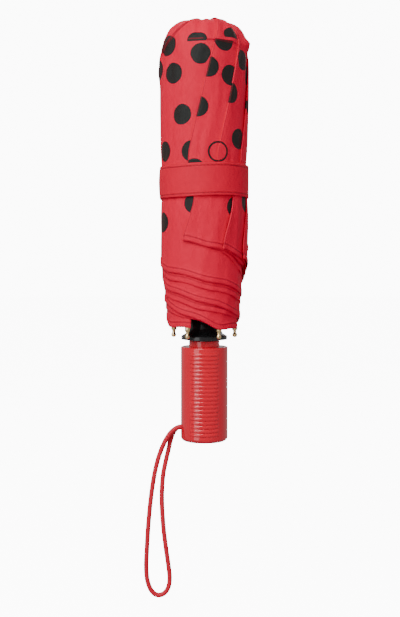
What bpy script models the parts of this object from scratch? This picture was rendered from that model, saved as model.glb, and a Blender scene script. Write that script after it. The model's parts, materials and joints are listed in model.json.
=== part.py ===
"""A three-fold umbrella, furled and strapped, with a telescoping shaft and a wrist cord.

Units are metres, +Z up. The origin is the centre of the handle's grip, on the shaft's axis.
Driving sizes are in millimetres, measured up from the handle's flat end, and are turned into
the frame's metres by height() and MM.

Each of the six arms folds in three: top rib down, middle rib up, outer rib down.
An arm's pieces lie side by side in three lanes, so that they swing past each other.
"""

import math

import bmesh
import bpy
from mathutils import Matrix, Vector

# ---------------------------------------------------------------- driving sizes (mm)
HANDLE_LENGTH = 62.0
HANDLE_RADIUS = 15.5
HANDLE_WALL = 2.2
HANDLE_FLOOR = 3.0
HANDLE_END_ROUND = 2.6
NECK_RADIUS = 10.1
NECK_TOP = 66.0
CORE_BOTTOM = 18.0
FIT_GAP = 0.3

LOWER_TUBE = {"radius": 3.4, "bore": 2.8, "bottom": 8.0, "top": 256.0}
MIDDLE_TUBE = {"radius": 4.4, "bore": 3.7, "bottom": 66.6, "top": 262.0}
UPPER_TUBE = {"radius": 5.5, "bore": 4.7, "bottom": 66.6, "top": 268.0}
PIN_HEIGHT = 30.0
PIN_RADIUS = 1.0

ARMS = 6
FIRST_ARM_DEG = 120.0
RIB_LANES = {"top": -0.9, "middle": 0.9, "outer": -0.9, "link": 2.7}
BAR_WIDTH = 2.4
BAR_THICK = 1.4
LINK_THICK = 1.2
EYE_RADIUS = 0.8
WIRE_RADIUS = 0.4

# Pivots of one arm, in its own radial plane: (radius, height)
CROWN_PIVOT = (9.0, 262.0)
KNEE_PIVOT = (12.0, 91.0)
ELBOW_PIVOT = (15.0, 264.0)
RIB_END = (20.0, 77.0)
RUNNER_PIVOT = (9.0, 115.0)
STRUT_REACH = 73.5
KNEE_TAIL = 9.5
LINK_REACH = 10.0
TIP_BOTTOM = 68.0

CROWN_DISC = 10.8
RUNNER_COLLAR = 10.0
SLOT_FLOOR = 7.3
SLOT_GAP = 0.5

STRAP_BOTTOM, STRAP_TOP = 159.5, 180.5
STRAP_RADIUS = 28.7
STRAP_THICK = 0.8
SNAP_DEG = 90.0
SNAP_RADIUS = 4.6
SNAP_THICK = 1.2

CATCH_DEG = 90.0
CATCH_SIZE = (1.7, 1.8, 8.0)
CATCH_INNER = 5.9
CATCH_HEIGHT = 172.0
CATCH_WINDOW = 0.4
KEYWAY = (2.6, 2.6)

CORD_RADIUS = 1.6
CORD_HOLE_RADIUS = 4.1
CORD_HOLE_HEIGHT = 8.7
KNOT_RADIUS = 2.5

ROUND = 40
SMALL_ROUND = 24
MM = 0.001

# The wrist cord's route, out of the handle's side, round its loop and back: (x, y, height)
CORD_ROUTE = [
    (-12.4, -1.9, 9.1),
    (-15.6, -1.9, 9.1),
    (-18.4, -1.9, 8.2),
    (-22.4, -1.9, 4.9),
    (-26.5, -1.7, -1.8),
    (-29.8, -1.4, -10.1),
    (-32.3, -1.2, -19.5),
    (-34.3, -1.0, -31.0),
    (-35.9, -0.8, -44.0),
    (-37.1, -0.5, -57.6),
    (-37.9, -0.3, -71.1),
    (-38.4, -0.1, -83.1),
    (-37.8, 0.0, -92.0),
    (-35.8, 0.1, -98.3),
    (-32.8, 0.1, -101.9),
    (-29.4, 0.1, -102.7),
    (-26.0, 0.2, -101.1),
    (-23.6, 0.2, -97.1),
    (-22.9, 0.3, -91.0),
    (-23.8, 0.4, -82.6),
    (-25.3, 0.5, -72.2),
    (-26.8, 0.7, -60.2),
    (-27.8, 0.9, -47.7),
    (-28.1, 1.1, -35.7),
    (-27.3, 1.3, -23.7),
    (-25.5, 1.5, -14.3),
    (-23.8, 1.7, -7.0),
    (-22.4, 1.8, -0.8),
    (-20.8, 1.9, 3.9),
    (-18.6, 1.9, 7.2),
    (-15.9, 1.9, 8.3),
    (-12.4, 1.9, 8.3),
]
CORD_POINTS_PER_SPAN = 2


# ---------------------------------------------------------------- frame helpers
def height(value):
    """A height above the handle's flat end, in mm, as the frame's z in metres."""
    return (value - HANDLE_LENGTH / 2) * MM


def polar(radius, angle_deg, z):
    """A point in metres from a radius in mm, an angle and a height in mm."""
    a = math.radians(angle_deg)
    return Vector((radius * MM * math.cos(a), radius * MM * math.sin(a), height(z)))


def direction_deg(start, end):
    """Angle of start->end in an arm's plane, from straight down towards the rim."""
    return math.degrees(math.atan2(end[0] - start[0], start[1] - end[1]))


def distance(start, end):
    return math.hypot(end[0] - start[0], end[1] - start[1])


def along(start, end, share):
    """The point that share of the way from start to end."""
    return tuple(s + (e - s) * share for s, e in zip(start, end))


STRUT_PIVOT = along(CROWN_PIVOT, KNEE_PIVOT, STRUT_REACH / distance(CROWN_PIVOT, KNEE_PIVOT))
TAIL_END = along(KNEE_PIVOT, ELBOW_PIVOT, -KNEE_TAIL / distance(KNEE_PIVOT, ELBOW_PIVOT))
LINK_PIVOT = along(STRUT_PIVOT, RUNNER_PIVOT, LINK_REACH / distance(STRUT_PIVOT, RUNNER_PIVOT))


# ---------------------------------------------------------------- scene helpers
for old in list(bpy.data.objects):
    bpy.data.objects.remove(old)

parts = bpy.data.collections.new("umbrella")
cutters = bpy.data.collections.new("cutters")
for group in (parts, cutters):
    bpy.context.scene.collection.children.link(group)


def material(name, colour, roughness, metallic=0.0):
    made = bpy.data.materials.new(name)
    made.use_nodes = True
    shader = made.node_tree.nodes["Principled BSDF"]
    shader.inputs["Base Color"].default_value = (*colour, 1.0)
    shader.inputs["Roughness"].default_value = roughness
    shader.inputs["Metallic"].default_value = metallic
    return made


RED_GLOSS = material("red_gloss", (0.72, 0.02, 0.035), 0.2)
RED_CLOTH = material("red_cloth", (0.74, 0.035, 0.06), 0.7)
RED_CORD = material("red_cord", (0.66, 0.02, 0.04), 0.65)
BLACK_PLASTIC = material("black_plastic", (0.012, 0.012, 0.014), 0.35)
STEEL = material("steel", (0.55, 0.56, 0.58), 0.32, 1.0)
GOLD = material("gold", (0.83, 0.6, 0.26), 0.2, 1.0)


def add(name, data, finish, collection=parts):
    """A new object in a collection, holding data and one material."""
    made = bpy.data.objects.new(name, data)
    collection.objects.link(made)
    if finish and not data.materials:
        data.materials.append(finish)
    return made


def as_cutter(obj):
    """Hides a cutter, which stays out of the model, and returns it."""
    obj.hide_render = True
    obj.display_type = "WIRE"
    return obj


def turned(name, profile, finish, segments=ROUND, closed=True, collection=parts):
    """A turned piece from a (radius, height) profile that runs down its outer side."""
    mesh = bpy.data.meshes.new(name)
    count = len(profile)
    edges = [(i, i + 1) for i in range(count - 1)]
    if closed:
        edges.append((count - 1, 0))
    mesh.from_pydata([(r * MM, 0.0, height(z)) for r, z in profile], edges, [])
    made = add(name, mesh, finish, collection)
    screw = made.modifiers.new("turn", "SCREW")
    screw.axis = "Z"
    screw.angle = 2 * math.pi
    screw.steps = screw.render_steps = segments
    screw.use_merge_vertices = True
    screw.merge_threshold = 0.00001
    screw.use_smooth_shade = True
    return made


def tube(name, sizes, finish):
    """A plain tube from its outer radius, bore, bottom and top."""
    profile = [
        (sizes["radius"], sizes["top"]),
        (sizes["radius"], sizes["bottom"]),
        (sizes["bore"], sizes["bottom"]),
        (sizes["bore"], sizes["top"]),
    ]
    return turned(name, profile, finish, SMALL_ROUND)


def quarter(centre, radius, start_deg, end_deg, steps=4):
    """Points on an arc, often a quarter round, both ends included."""
    turns = [start_deg + (end_deg - start_deg) * i / steps for i in range(steps + 1)]
    return [
        (
            centre[0] + radius * math.cos(math.radians(t)),
            centre[1] + radius * math.sin(math.radians(t)),
        )
        for t in turns
    ]


def cut(target, cutter):
    """Takes the cutter's shape out of the target."""
    boolean = target.modifiers.new("cut", "BOOLEAN")
    boolean.operation = "DIFFERENCE"
    boolean.solver = "EXACT"
    boolean.object = as_cutter(cutter)


def boxes(name, placements):
    """One cutter made of separate boxes, each given as a matrix for a unit cube."""
    shape = bmesh.new()
    for matrix in placements:
        bmesh.ops.create_cube(shape, size=1.0, matrix=matrix)
    mesh = bpy.data.meshes.new(name)
    shape.to_mesh(mesh)
    shape.free()
    return add(name, mesh, None, cutters)


def box_matrix(angle_deg, centre, size):
    """A box at (radius, sideways, height) in a radial plane, with that (radial, sideways, up) size."""
    turn = Matrix.Rotation(math.radians(angle_deg), 4, "Z")
    shift = Matrix.Translation((centre[0] * MM, centre[1] * MM, height(centre[2])))
    return turn @ shift @ Matrix.Diagonal((size[0] * MM, size[1] * MM, size[2] * MM, 1.0))


def rod_cutter(name, radius, length, matrix):
    """A round cutter along its own Z, placed by matrix."""
    shape = bmesh.new()
    bmesh.ops.create_cone(
        shape,
        cap_ends=True,
        segments=SMALL_ROUND,
        radius1=radius * MM,
        radius2=radius * MM,
        depth=length * MM,
        matrix=matrix,
    )
    mesh = bpy.data.meshes.new(name)
    shape.to_mesh(mesh)
    shape.free()
    return add(name, mesh, None, cutters)


def arm_angle(index):
    """The direction of an arm in degrees from +X, counted from 0."""
    return FIRST_ARM_DEG + 360.0 / ARMS * index


# ---------------------------------------------------------------- handle
def own(obj, name, finish):
    """Names an object made by an operator and moves it to the umbrella's collection."""
    obj.name = obj.data.name = name
    obj.data.materials.append(finish)
    for owner in list(obj.users_collection):
        owner.objects.unlink(obj)
    parts.objects.link(obj)
    return obj


def build_handle():
    """A cup-shaped grip with a rounded end, and the core that closes it and carries the neck.

    Returns the placement of the pin through the core, which the lower tube's hole shares.
    """
    inner = HANDLE_RADIUS - HANDLE_WALL
    rim = 0.8
    profile = [(0.0, HANDLE_FLOOR), (inner, HANDLE_FLOOR), (inner, HANDLE_LENGTH)]
    profile += quarter((HANDLE_RADIUS - rim, HANDLE_LENGTH - rim), rim, 90, 0, 2)
    profile += quarter(
        (HANDLE_RADIUS - HANDLE_END_ROUND, HANDLE_END_ROUND), HANDLE_END_ROUND, 0, -90
    )
    profile.append((0.0, 0.0))
    shell = turned("handle_grip", profile, RED_GLOSS, closed=False)
    hole = Matrix.Translation((-HANDLE_RADIUS * MM, 0, height(CORD_HOLE_HEIGHT)))
    hole = hole @ Matrix.Rotation(math.radians(90), 4, "Y")
    cut(shell, rod_cutter("cord_hole", CORD_HOLE_RADIUS, 3 * HANDLE_WALL, hole))

    body = inner - FIT_GAP
    bore = LOWER_TUBE["radius"] + FIT_GAP
    core = turned(
        "handle_core",
        [
            (NECK_RADIUS - 0.5, NECK_TOP),
            (NECK_RADIUS, NECK_TOP - 0.5),
            (NECK_RADIUS, HANDLE_LENGTH - 0.2),
            (body, HANDLE_LENGTH - 0.2),
            (body, CORE_BOTTOM),
            (bore, CORE_BOTTOM),
            (bore, NECK_TOP),
        ],
        RED_GLOSS,
    )
    lying = Matrix.Translation((0, 0, height(PIN_HEIGHT))) @ Matrix.Rotation(math.radians(90), 4, "X")
    cut(core, rod_cutter("pin_hole", PIN_RADIUS + FIT_GAP, 3 * HANDLE_RADIUS, lying))
    bpy.ops.mesh.primitive_cylinder_add(
        vertices=12, radius=PIN_RADIUS * MM, depth=2 * (body - 0.5) * MM
    )
    pin = own(bpy.context.object, "handle_pin", STEEL)
    pin.matrix_world = lying
    return lying


def build_knot():
    """The knot that holds both ends of the wrist cord inside the grip."""
    bpy.ops.mesh.primitive_uv_sphere_add(segments=12, ring_count=8, radius=KNOT_RADIUS * MM)
    knot = own(bpy.context.object, "cord_knot", RED_CORD)
    end = CORD_ROUTE[0][0]
    knot.location = ((end + FIT_GAP + KNOT_RADIUS) * MM, 0, height(CORD_HOLE_HEIGHT))


# ---------------------------------------------------------------- shaft
def build_shaft(pin_place):
    """Three nested tubes: the handle's pin crosses the lower one, the catch's window is in the upper."""
    lower = tube("lower_tube", LOWER_TUBE, STEEL)
    cut(lower, rod_cutter("lower_pin_hole", PIN_RADIUS + FIT_GAP, 3 * LOWER_TUBE["radius"], pin_place))
    tube("middle_tube", MIDDLE_TUBE, STEEL)
    upper = tube("upper_tube", UPPER_TUBE, STEEL)
    window = (6.0, CATCH_SIZE[1] + 2 * CATCH_WINDOW, CATCH_SIZE[2] + 2 * CATCH_WINDOW)
    place = box_matrix(CATCH_DEG, (UPPER_TUBE["bore"] + 2.0, 0, CATCH_HEIGHT), window)
    cut(upper, boxes("catch_window", [place]))


def build_catch():
    """The sprung catch that holds the open runner up, in its window in the upper tube."""
    bpy.ops.mesh.primitive_cube_add(size=1.0)
    catch = own(bpy.context.object, "runner_catch", STEEL)
    catch.data.transform(Matrix.Diagonal((*(size * MM for size in CATCH_SIZE), 1)))
    catch.location = polar(CATCH_INNER + CATCH_SIZE[0] / 2, CATCH_DEG, CATCH_HEIGHT)
    catch.rotation_euler = (0, 0, math.radians(CATCH_DEG))


# ---------------------------------------------------------------- crown, its wire and the cap
def slots(name, lane, width, middle):
    """One cutter with a slot for each arm, from the slot's floor outwards."""
    depth, tall = 6.0, 10.0
    return boxes(
        name,
        [
            box_matrix(arm_angle(i), (SLOT_FLOOR + depth / 2, lane, middle), (depth, width, tall))
            for i in range(ARMS)
        ],
    )


def build_crown():
    """A slotted disc on a hub: each slot takes one top rib, and a wire in the groove hinges them."""
    hub, middle = SLOT_FLOOR - 0.1, CROWN_PIVOT[1]
    groove, half = 8.2, 0.8
    bore = UPPER_TUBE["radius"] + FIT_GAP
    crown = turned(
        "crown",
        [
            (hub, middle + 6.0),
            (hub, middle + 3.0),
            (CROWN_DISC, middle + 3.0),
            (CROWN_DISC, middle + half),
            (groove, middle + half),
            (groove, middle - half),
            (CROWN_DISC, middle - half),
            (CROWN_DISC, middle - 3.0),
            (hub, middle - 3.0),
            (hub, middle - 7.0),
            (bore, middle - 7.0),
            (bore, middle + 6.0),
        ],
        BLACK_PLASTIC,
    )
    cut(crown, slots("crown_slots", RIB_LANES["top"], BAR_THICK + 2 * SLOT_GAP, middle))


def build_cap():
    """The cap on the shaft's top: a domed button on a stem that plugs the upper tube."""
    top, brim, stem = 274.6, 6.6, UPPER_TUBE["bore"] - FIT_GAP
    flat, bottom = 3.6, 269.0
    cap = [(0.0, top), (flat, top)]
    cap += quarter((brim - 2.2, top - 2.6), 2.2, 80, 0)
    foot = MIDDLE_TUBE["top"] + 0.4
    cap += [(brim, bottom), (stem, bottom), (stem, foot), (0.0, foot)]
    turned("top_cap", cap, BLACK_PLASTIC, SMALL_ROUND, closed=False)


def build_crown_wire():
    """The ring of wire in the crown's groove that the top ribs hinge on."""
    bpy.ops.mesh.primitive_torus_add(
        major_radius=CROWN_PIVOT[0] * MM,
        minor_radius=WIRE_RADIUS * MM,
        major_segments=36,
        minor_segments=6,
        location=(0, 0, height(CROWN_PIVOT[1])),
    )
    own(bpy.context.object, "crown_wire", STEEL)


# ---------------------------------------------------------------- runner
def build_runner():
    """The sliding sleeve: a slotted collar for the struts, a slim waist, and a bell at the bottom."""
    bore = UPPER_TUBE["radius"] + FIT_GAP
    waist, shoulder, bell = SLOT_FLOOR - 0.1, 10.0, 15.2
    groove, half = 8.2, 0.8
    middle = RUNNER_PIVOT[1]
    runner = turned(
        "runner",
        [
            (waist, middle + 5.0),
            (waist, middle + 3.0),
            (RUNNER_COLLAR, middle + 3.0),
            (RUNNER_COLLAR, middle + half),
            (groove, middle + half),
            (groove, middle - half),
            (RUNNER_COLLAR, middle - half),
            (RUNNER_COLLAR, middle - 3.0),
            (waist, middle - 3.0),
            (waist, 88.0),
            (shoulder - 1.2, 86.0),
            (shoulder, 83.0),
            (shoulder, 74.5),
            (shoulder + 0.8, 72.3),
            (shoulder + 2.4, 70.6),
            (bell, 69.0),
            (bell, 66.8),
            (bore, 66.8),
            (bore, middle + 5.0),
        ],
        BLACK_PLASTIC,
    )
    cut(runner, slots("runner_slots", 1.7, 4.0, middle))
    depth, width = KEYWAY
    tall = 2 * (middle - HANDLE_LENGTH)
    place = box_matrix(CATCH_DEG, (bore - 0.6 + depth / 2, 0, middle), (depth, width, tall))
    cut(runner, boxes("keyway", [place]))


# ---------------------------------------------------------------- arms
def bar_outline(name, first_end, last_end, thick, eye=None):
    """A flat bar with round ends, along +X between two distances, with an eye for its hinge wire."""
    curve = bpy.data.curves.new(name, "CURVE")
    curve.dimensions = "2D"
    curve.fill_mode = "BOTH"
    curve.extrude = thick / 2 * MM
    half, steps = BAR_WIDTH / 2, 5
    outline = []
    for centre, first in ((first_end, 90), (last_end, -90)):
        for i in range(steps + 1):
            a = math.radians(first + 180 * i / steps)
            outline.append((centre + half * math.cos(a), half * math.sin(a)))
    loops = [outline]
    if eye is not None:
        loops.append(quarter((eye, 0.0), EYE_RADIUS, 0, 315, 7))
    for loop in loops:
        spline = curve.splines.new("POLY")
        spline.points.add(len(loop) - 1)
        for point, (x, y) in zip(spline.points, loop):
            point.co = (x * MM, y * MM, 0, 1)
        spline.use_cyclic_u = True
    return curve


def place_in_arm(obj, arm, pivot, lane, angle_deg):
    """Puts obj's origin on a pivot of the arm, its +X along angle_deg and its +Z on the hinge axis."""
    a = math.radians(angle_deg)
    turn = Matrix(
        (
            (math.sin(a), math.cos(a), 0.0),
            (0.0, 0.0, -1.0),
            (-math.cos(a), math.sin(a), 0.0),
        )
    ).to_4x4()
    obj.parent = arm
    obj.matrix_local = Matrix.Translation((pivot[0] * MM, lane * MM, height(pivot[1]))) @ turn


def tip_profile(length):
    """Collar, waist and ball of a rib tip, as (radius, distance from the rib's end)."""
    ball, collar, waist = 1.7, 1.8, 1.1
    profile = [(0.0, FIT_GAP), (collar, FIT_GAP), (collar, 2.6), (waist, 3.2), (waist, 4.0)]
    profile += quarter((0.0, length - ball), ball, -50, 90, 5)[:-1]
    profile.append((0.0, length))
    return profile


def tip_mesh(length):
    """The tip's mesh, turned about +X, with its socket end at the rib's end."""
    profile = tip_profile(length)
    mesh = bpy.data.meshes.new("rib_tip")
    shape = bmesh.new()
    verts = [shape.verts.new((d * MM, r * MM, 0)) for r, d in profile]
    edges = [shape.edges.new(pair) for pair in zip(verts, verts[1:])]
    bmesh.ops.spin(
        shape,
        geom=verts + edges,
        cent=(0, 0, 0),
        axis=(1, 0, 0),
        angle=2 * math.pi,
        steps=10,
        use_merge=True,
    )
    bmesh.ops.remove_doubles(shape, verts=shape.verts, dist=0.00001)
    bmesh.ops.recalc_face_normals(shape, faces=shape.faces)
    shape.to_mesh(mesh)
    shape.free()
    mesh.shade_smooth()
    return mesh


def build_arms():
    """Six copies of the folding arm, round the shaft."""
    pieces = [
        ("top_rib", CROWN_PIVOT, KNEE_PIVOT, RIB_LANES["top"], BAR_THICK, 0.0, 0.0),
        ("middle_rib", KNEE_PIVOT, ELBOW_PIVOT, RIB_LANES["middle"], BAR_THICK, -KNEE_TAIL, None),
        ("outer_rib", ELBOW_PIVOT, RIB_END, RIB_LANES["outer"], BAR_THICK, 0.0, None),
        ("strut", STRUT_PIVOT, RUNNER_PIVOT, RIB_LANES["middle"], BAR_THICK, 0.0, None),
        ("link", TAIL_END, LINK_PIVOT, RIB_LANES["link"], LINK_THICK, 0.0, None),
    ]
    outlines = {
        name: bar_outline(name, tail, distance(start, end), thick, eye)
        for name, start, end, _, thick, tail, eye in pieces
    }
    rib = distance(ELBOW_PIVOT, RIB_END)
    tip_start = along(ELBOW_PIVOT, RIB_END, 1 + BAR_WIDTH / 2 / rib)
    tip = tip_mesh(tip_start[1] - TIP_BOTTOM)
    tip_angle = direction_deg(ELBOW_PIVOT, RIB_END)
    for i in range(ARMS):
        arm = bpy.data.objects.new(f"arm_{i + 1}", None)
        parts.objects.link(arm)
        arm.rotation_euler = (0, 0, math.radians(arm_angle(i)))
        for name, start, end, lane, _, _, _ in pieces:
            bar = add(f"{name}_{i + 1}", outlines[name], STEEL)
            place_in_arm(bar, arm, start, lane, direction_deg(start, end))
        ball = add(f"rib_tip_{i + 1}", tip, GOLD)
        place_in_arm(ball, arm, tip_start, RIB_LANES["outer"], tip_angle)
        if i == 0:
            build_stowed_cloth(arm)


# ---------------------------------------------------------------- canopy
def build_stowed_cloth(arm):
    """Thin folded stacks of canopy beside the first arm: one pair for each of its three ribs."""
    thick, width = 0.5, 1.6
    near, far = (-2.3, 3.7), (-3.1, 4.5)
    stacks = [
        ("inner", along(CROWN_PIVOT, KNEE_PIVOT, 0.08), along(CROWN_PIVOT, KNEE_PIVOT, 0.8), near),
        ("middle", along(KNEE_PIVOT, ELBOW_PIVOT, 0.1), along(KNEE_PIVOT, ELBOW_PIVOT, 0.95), far),
        ("outer", along(ELBOW_PIVOT, RIB_END, 0.05), along(ELBOW_PIVOT, RIB_END, 0.9), near),
    ]
    for name, start, end, lanes in stacks:
        angle = direction_deg(start, end)
        run = distance(start, end) * MM
        size = Matrix.Diagonal((run, width * MM, thick * MM, 1))
        for label, lane in zip(("left", "right"), lanes):
            bpy.ops.mesh.primitive_cube_add(size=1.0)
            stack = own(bpy.context.object, f"{name}_fold_{label}", RED_CLOTH)
            stack.data.transform(Matrix.Translation((run / 2, 0, 0)) @ size)
            place_in_arm(stack, arm, start, lane, angle)


def build_canopy():
    """The furled canopy as one sleeve of folded cloth, open at the hem and round the cap."""
    outer = [
        (7.4, 274.4),
        (13.0, 275.3),
        (20.4, 272.0),
        (24.2, 267.7),
        (26.4, 262.5),
        (28.0, 255.0),
        (28.3, 245.0),
        (28.1, 140.0),
        (27.6, 118.0),
        (25.6, 102.0),
        (24.4, 88.0),
        (22.9, 74.4),
    ]
    inner = [
        (22.1, 74.4),
        (23.4, 100.0),
        (24.0, 200.0),
        (23.6, 252.0),
        (20.0, 266.0),
        (7.6, 269.4),
    ]
    turned("canopy", outer + inner, RED_CLOTH)


def build_strap():
    """The closing strap, a band round the furled canopy, and the snap that fastens it."""
    outer = STRAP_RADIUS + STRAP_THICK
    turned(
        "closing_strap",
        [
            (outer, STRAP_TOP),
            (outer, STRAP_BOTTOM),
            (STRAP_RADIUS, STRAP_BOTTOM),
            (STRAP_RADIUS, STRAP_TOP),
        ],
        RED_CLOTH,
    )
    bpy.ops.mesh.primitive_cylinder_add(
        vertices=20, radius=SNAP_RADIUS * MM, depth=SNAP_THICK * MM
    )
    snap = own(bpy.context.object, "strap_snap", GOLD)
    radius = outer + FIT_GAP + SNAP_THICK / 2
    snap.location = polar(radius, SNAP_DEG, (STRAP_TOP + STRAP_BOTTOM) / 2)
    snap.rotation_euler = (0, math.radians(90), math.radians(SNAP_DEG))


# ---------------------------------------------------------------- wrist cord
def smooth_route(route, per_span):
    """Points on the Catmull-Rom curve through a route."""
    padded = [route[0], *route, route[-1]]
    points = []
    for i in range(1, len(padded) - 2):
        p0, p1, p2, p3 = (Vector(p) for p in padded[i - 1 : i + 3])
        for step in range(per_span):
            t = step / per_span
            points.append(
                0.5
                * (
                    2 * p1
                    + (p2 - p0) * t
                    + (2 * p0 - 5 * p1 + 4 * p2 - p3) * t * t
                    + (3 * p1 - p0 - 3 * p2 + p3) * t**3
                )
            )
    points.append(Vector(route[-1]))
    return points


def build_cord():
    """The wrist cord: one loop whose two ends go into the handle's side."""
    curve = bpy.data.curves.new("wrist_cord", "CURVE")
    curve.dimensions = "3D"
    curve.bevel_depth = CORD_RADIUS * MM
    curve.bevel_resolution = 2
    curve.use_fill_caps = True
    points = smooth_route(CORD_ROUTE, CORD_POINTS_PER_SPAN)
    spline = curve.splines.new("POLY")
    spline.points.add(len(points) - 1)
    for point, (x, y, z) in zip(spline.points, points):
        point.co = (x * MM, y * MM, height(z), 1)
    add("wrist_cord", curve, RED_CORD)


build_shaft(build_handle())
build_catch()
build_crown()
build_crown_wire()
build_cap()
build_runner()
build_arms()
build_canopy()
build_strap()
build_cord()
build_knot()
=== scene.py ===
"""Looks for a three-fold umbrella: furled cloth, strap, glossy grip, wrist cord and opened canopy.

Lengths in the classes are millimetres. Heights are measured up from the handle's flat end,
azimuths in degrees from the front (-Y) towards +X. Frame.place() turns them into frame metres.
"""

from __future__ import annotations

import json
import logging
import math
from dataclasses import dataclass
from enum import Enum
from typing import Callable, Sequence

import bmesh
import bpy
import numpy as np
from mathutils import Matrix, Vector, noise

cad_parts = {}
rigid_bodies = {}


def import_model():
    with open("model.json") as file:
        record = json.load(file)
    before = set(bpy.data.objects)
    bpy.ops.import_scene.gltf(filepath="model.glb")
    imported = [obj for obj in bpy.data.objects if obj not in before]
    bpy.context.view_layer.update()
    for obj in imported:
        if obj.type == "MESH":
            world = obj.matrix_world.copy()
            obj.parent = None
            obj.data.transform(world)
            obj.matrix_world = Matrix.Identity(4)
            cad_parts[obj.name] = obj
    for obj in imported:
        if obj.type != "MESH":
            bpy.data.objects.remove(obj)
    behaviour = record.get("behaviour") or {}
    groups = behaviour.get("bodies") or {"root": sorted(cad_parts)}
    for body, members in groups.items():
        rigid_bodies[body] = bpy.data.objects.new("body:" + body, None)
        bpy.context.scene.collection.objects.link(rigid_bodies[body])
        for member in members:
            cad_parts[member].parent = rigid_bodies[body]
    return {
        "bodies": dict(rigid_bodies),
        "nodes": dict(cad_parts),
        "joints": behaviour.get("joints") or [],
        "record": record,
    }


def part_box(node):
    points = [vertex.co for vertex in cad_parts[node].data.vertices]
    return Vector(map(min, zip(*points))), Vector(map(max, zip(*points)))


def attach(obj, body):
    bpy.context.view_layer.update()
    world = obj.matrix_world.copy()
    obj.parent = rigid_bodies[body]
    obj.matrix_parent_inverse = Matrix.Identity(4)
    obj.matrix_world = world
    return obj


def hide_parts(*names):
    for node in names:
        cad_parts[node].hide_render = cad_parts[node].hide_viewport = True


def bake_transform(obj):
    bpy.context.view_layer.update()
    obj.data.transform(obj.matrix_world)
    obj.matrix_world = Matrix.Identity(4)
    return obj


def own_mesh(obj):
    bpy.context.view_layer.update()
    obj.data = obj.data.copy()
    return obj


log = logging.getLogger("umbrella")

MM = 0.001
FULL_TURN = 360.0


# ------------------------------------------------------------------ the frame
@dataclass
class Frame:
    """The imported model, and the places that the looks are measured from."""

    packed: dict
    base: float = 0.0

    def __post_init__(self) -> None:
        """Finds the height of the handle's flat end."""
        self.base = float(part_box("handle_grip")[0][2])

    def up(self, height: float) -> float:
        """The frame's z in metres of a height in mm."""
        return self.base + height * MM

    def place(self, radius: np.ndarray, azimuth: np.ndarray, height: np.ndarray) -> np.ndarray:
        """Points in metres from radii, azimuths and heights.

        Args:
            radius: distances from the shaft's axis, mm.
            azimuth: degrees from the front, towards +X.
            height: mm above the handle's flat end.

        Returns:
            An array of points, one row each.
        """
        turn = np.radians(azimuth)
        return np.stack(
            [radius * MM * np.sin(turn), -radius * MM * np.cos(turn), self.base + height * MM],
            axis=-1,
        )

    def joint(self, name: str) -> dict:
        """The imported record's joint of that name."""
        return next(j for j in self.packed["joints"] if j["name"] == name)

    def travel(self, name: str) -> float:
        """A joint's value when the runner is at the top of its slide.

        Args:
            name: the joint.

        Returns:
            The joint's value, radians or metres.
        """
        top = self.joint("runner_slide")["range_m"][1]
        links = self.packed["record"]["behaviour"]["couplings"]
        ratio = next(c["ratio"] for c in links if c["joint"] == name)
        return ratio * top

    def opened(self, names: Sequence[str]) -> np.ndarray:
        """The matrix of a body at the end of a chain of hinges, with the frame opened.

        Args:
            names: the hinges, from the crown outwards.

        Returns:
            A 4x4 matrix that moves rest points to their opened places.
        """
        moved = Matrix.Identity(4)
        for name in names:
            hinge = self.joint(name)
            pivot = Matrix.Translation(hinge["pos_m"])
            turn = Matrix.Rotation(self.travel(name), 4, Vector(hinge["axis"]))
            moved = moved @ pivot @ turn @ pivot.inverted()
        return np.array(moved)


# ------------------------------------------------------------------ shader maths
class Signal:
    """A number socket of a material, with arithmetic that adds Math nodes."""

    def __init__(self, shader: "Shader", socket: bpy.types.NodeSocket) -> None:
        """Wraps one output socket of a shader's tree."""
        self.shader = shader
        self.socket = socket

    def _math(self, operation: str, first: object, second: object) -> "Signal":
        """A Math node of two values or signals."""
        made = self.shader.node("ShaderNodeMath", {"operation": operation}, {0: first, 1: second})
        return Signal(self.shader, made.outputs[0])

    def __add__(self, other: object) -> "Signal":
        """self + other."""
        return self._math("ADD", self, other)

    def __radd__(self, other: object) -> "Signal":
        """other + self."""
        return self._math("ADD", other, self)

    def __sub__(self, other: object) -> "Signal":
        """self - other."""
        return self._math("SUBTRACT", self, other)

    def __rsub__(self, other: object) -> "Signal":
        """other - self."""
        return self._math("SUBTRACT", other, self)

    def __mul__(self, other: object) -> "Signal":
        """self * other."""
        return self._math("MULTIPLY", self, other)

    def __rmul__(self, other: object) -> "Signal":
        """other * self."""
        return self._math("MULTIPLY", other, self)

    def sine(self) -> "Signal":
        """The sine of the value, in radians."""
        return self._math("SINE", self, 0.0)

    def step(self, low: float, high: float) -> "Signal":
        """A smooth step from 0 at low to 1 at high.

        Args:
            low: where it starts.
            high: where it ends.

        Returns:
            The step's value.
        """
        made = self.shader.node(
            "ShaderNodeMapRange",
            {"interpolation_type": "SMOOTHSTEP"},
            {"Value": self, "From Min": low, "From Max": high},
        )
        return Signal(self.shader, made.outputs["Result"])


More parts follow.
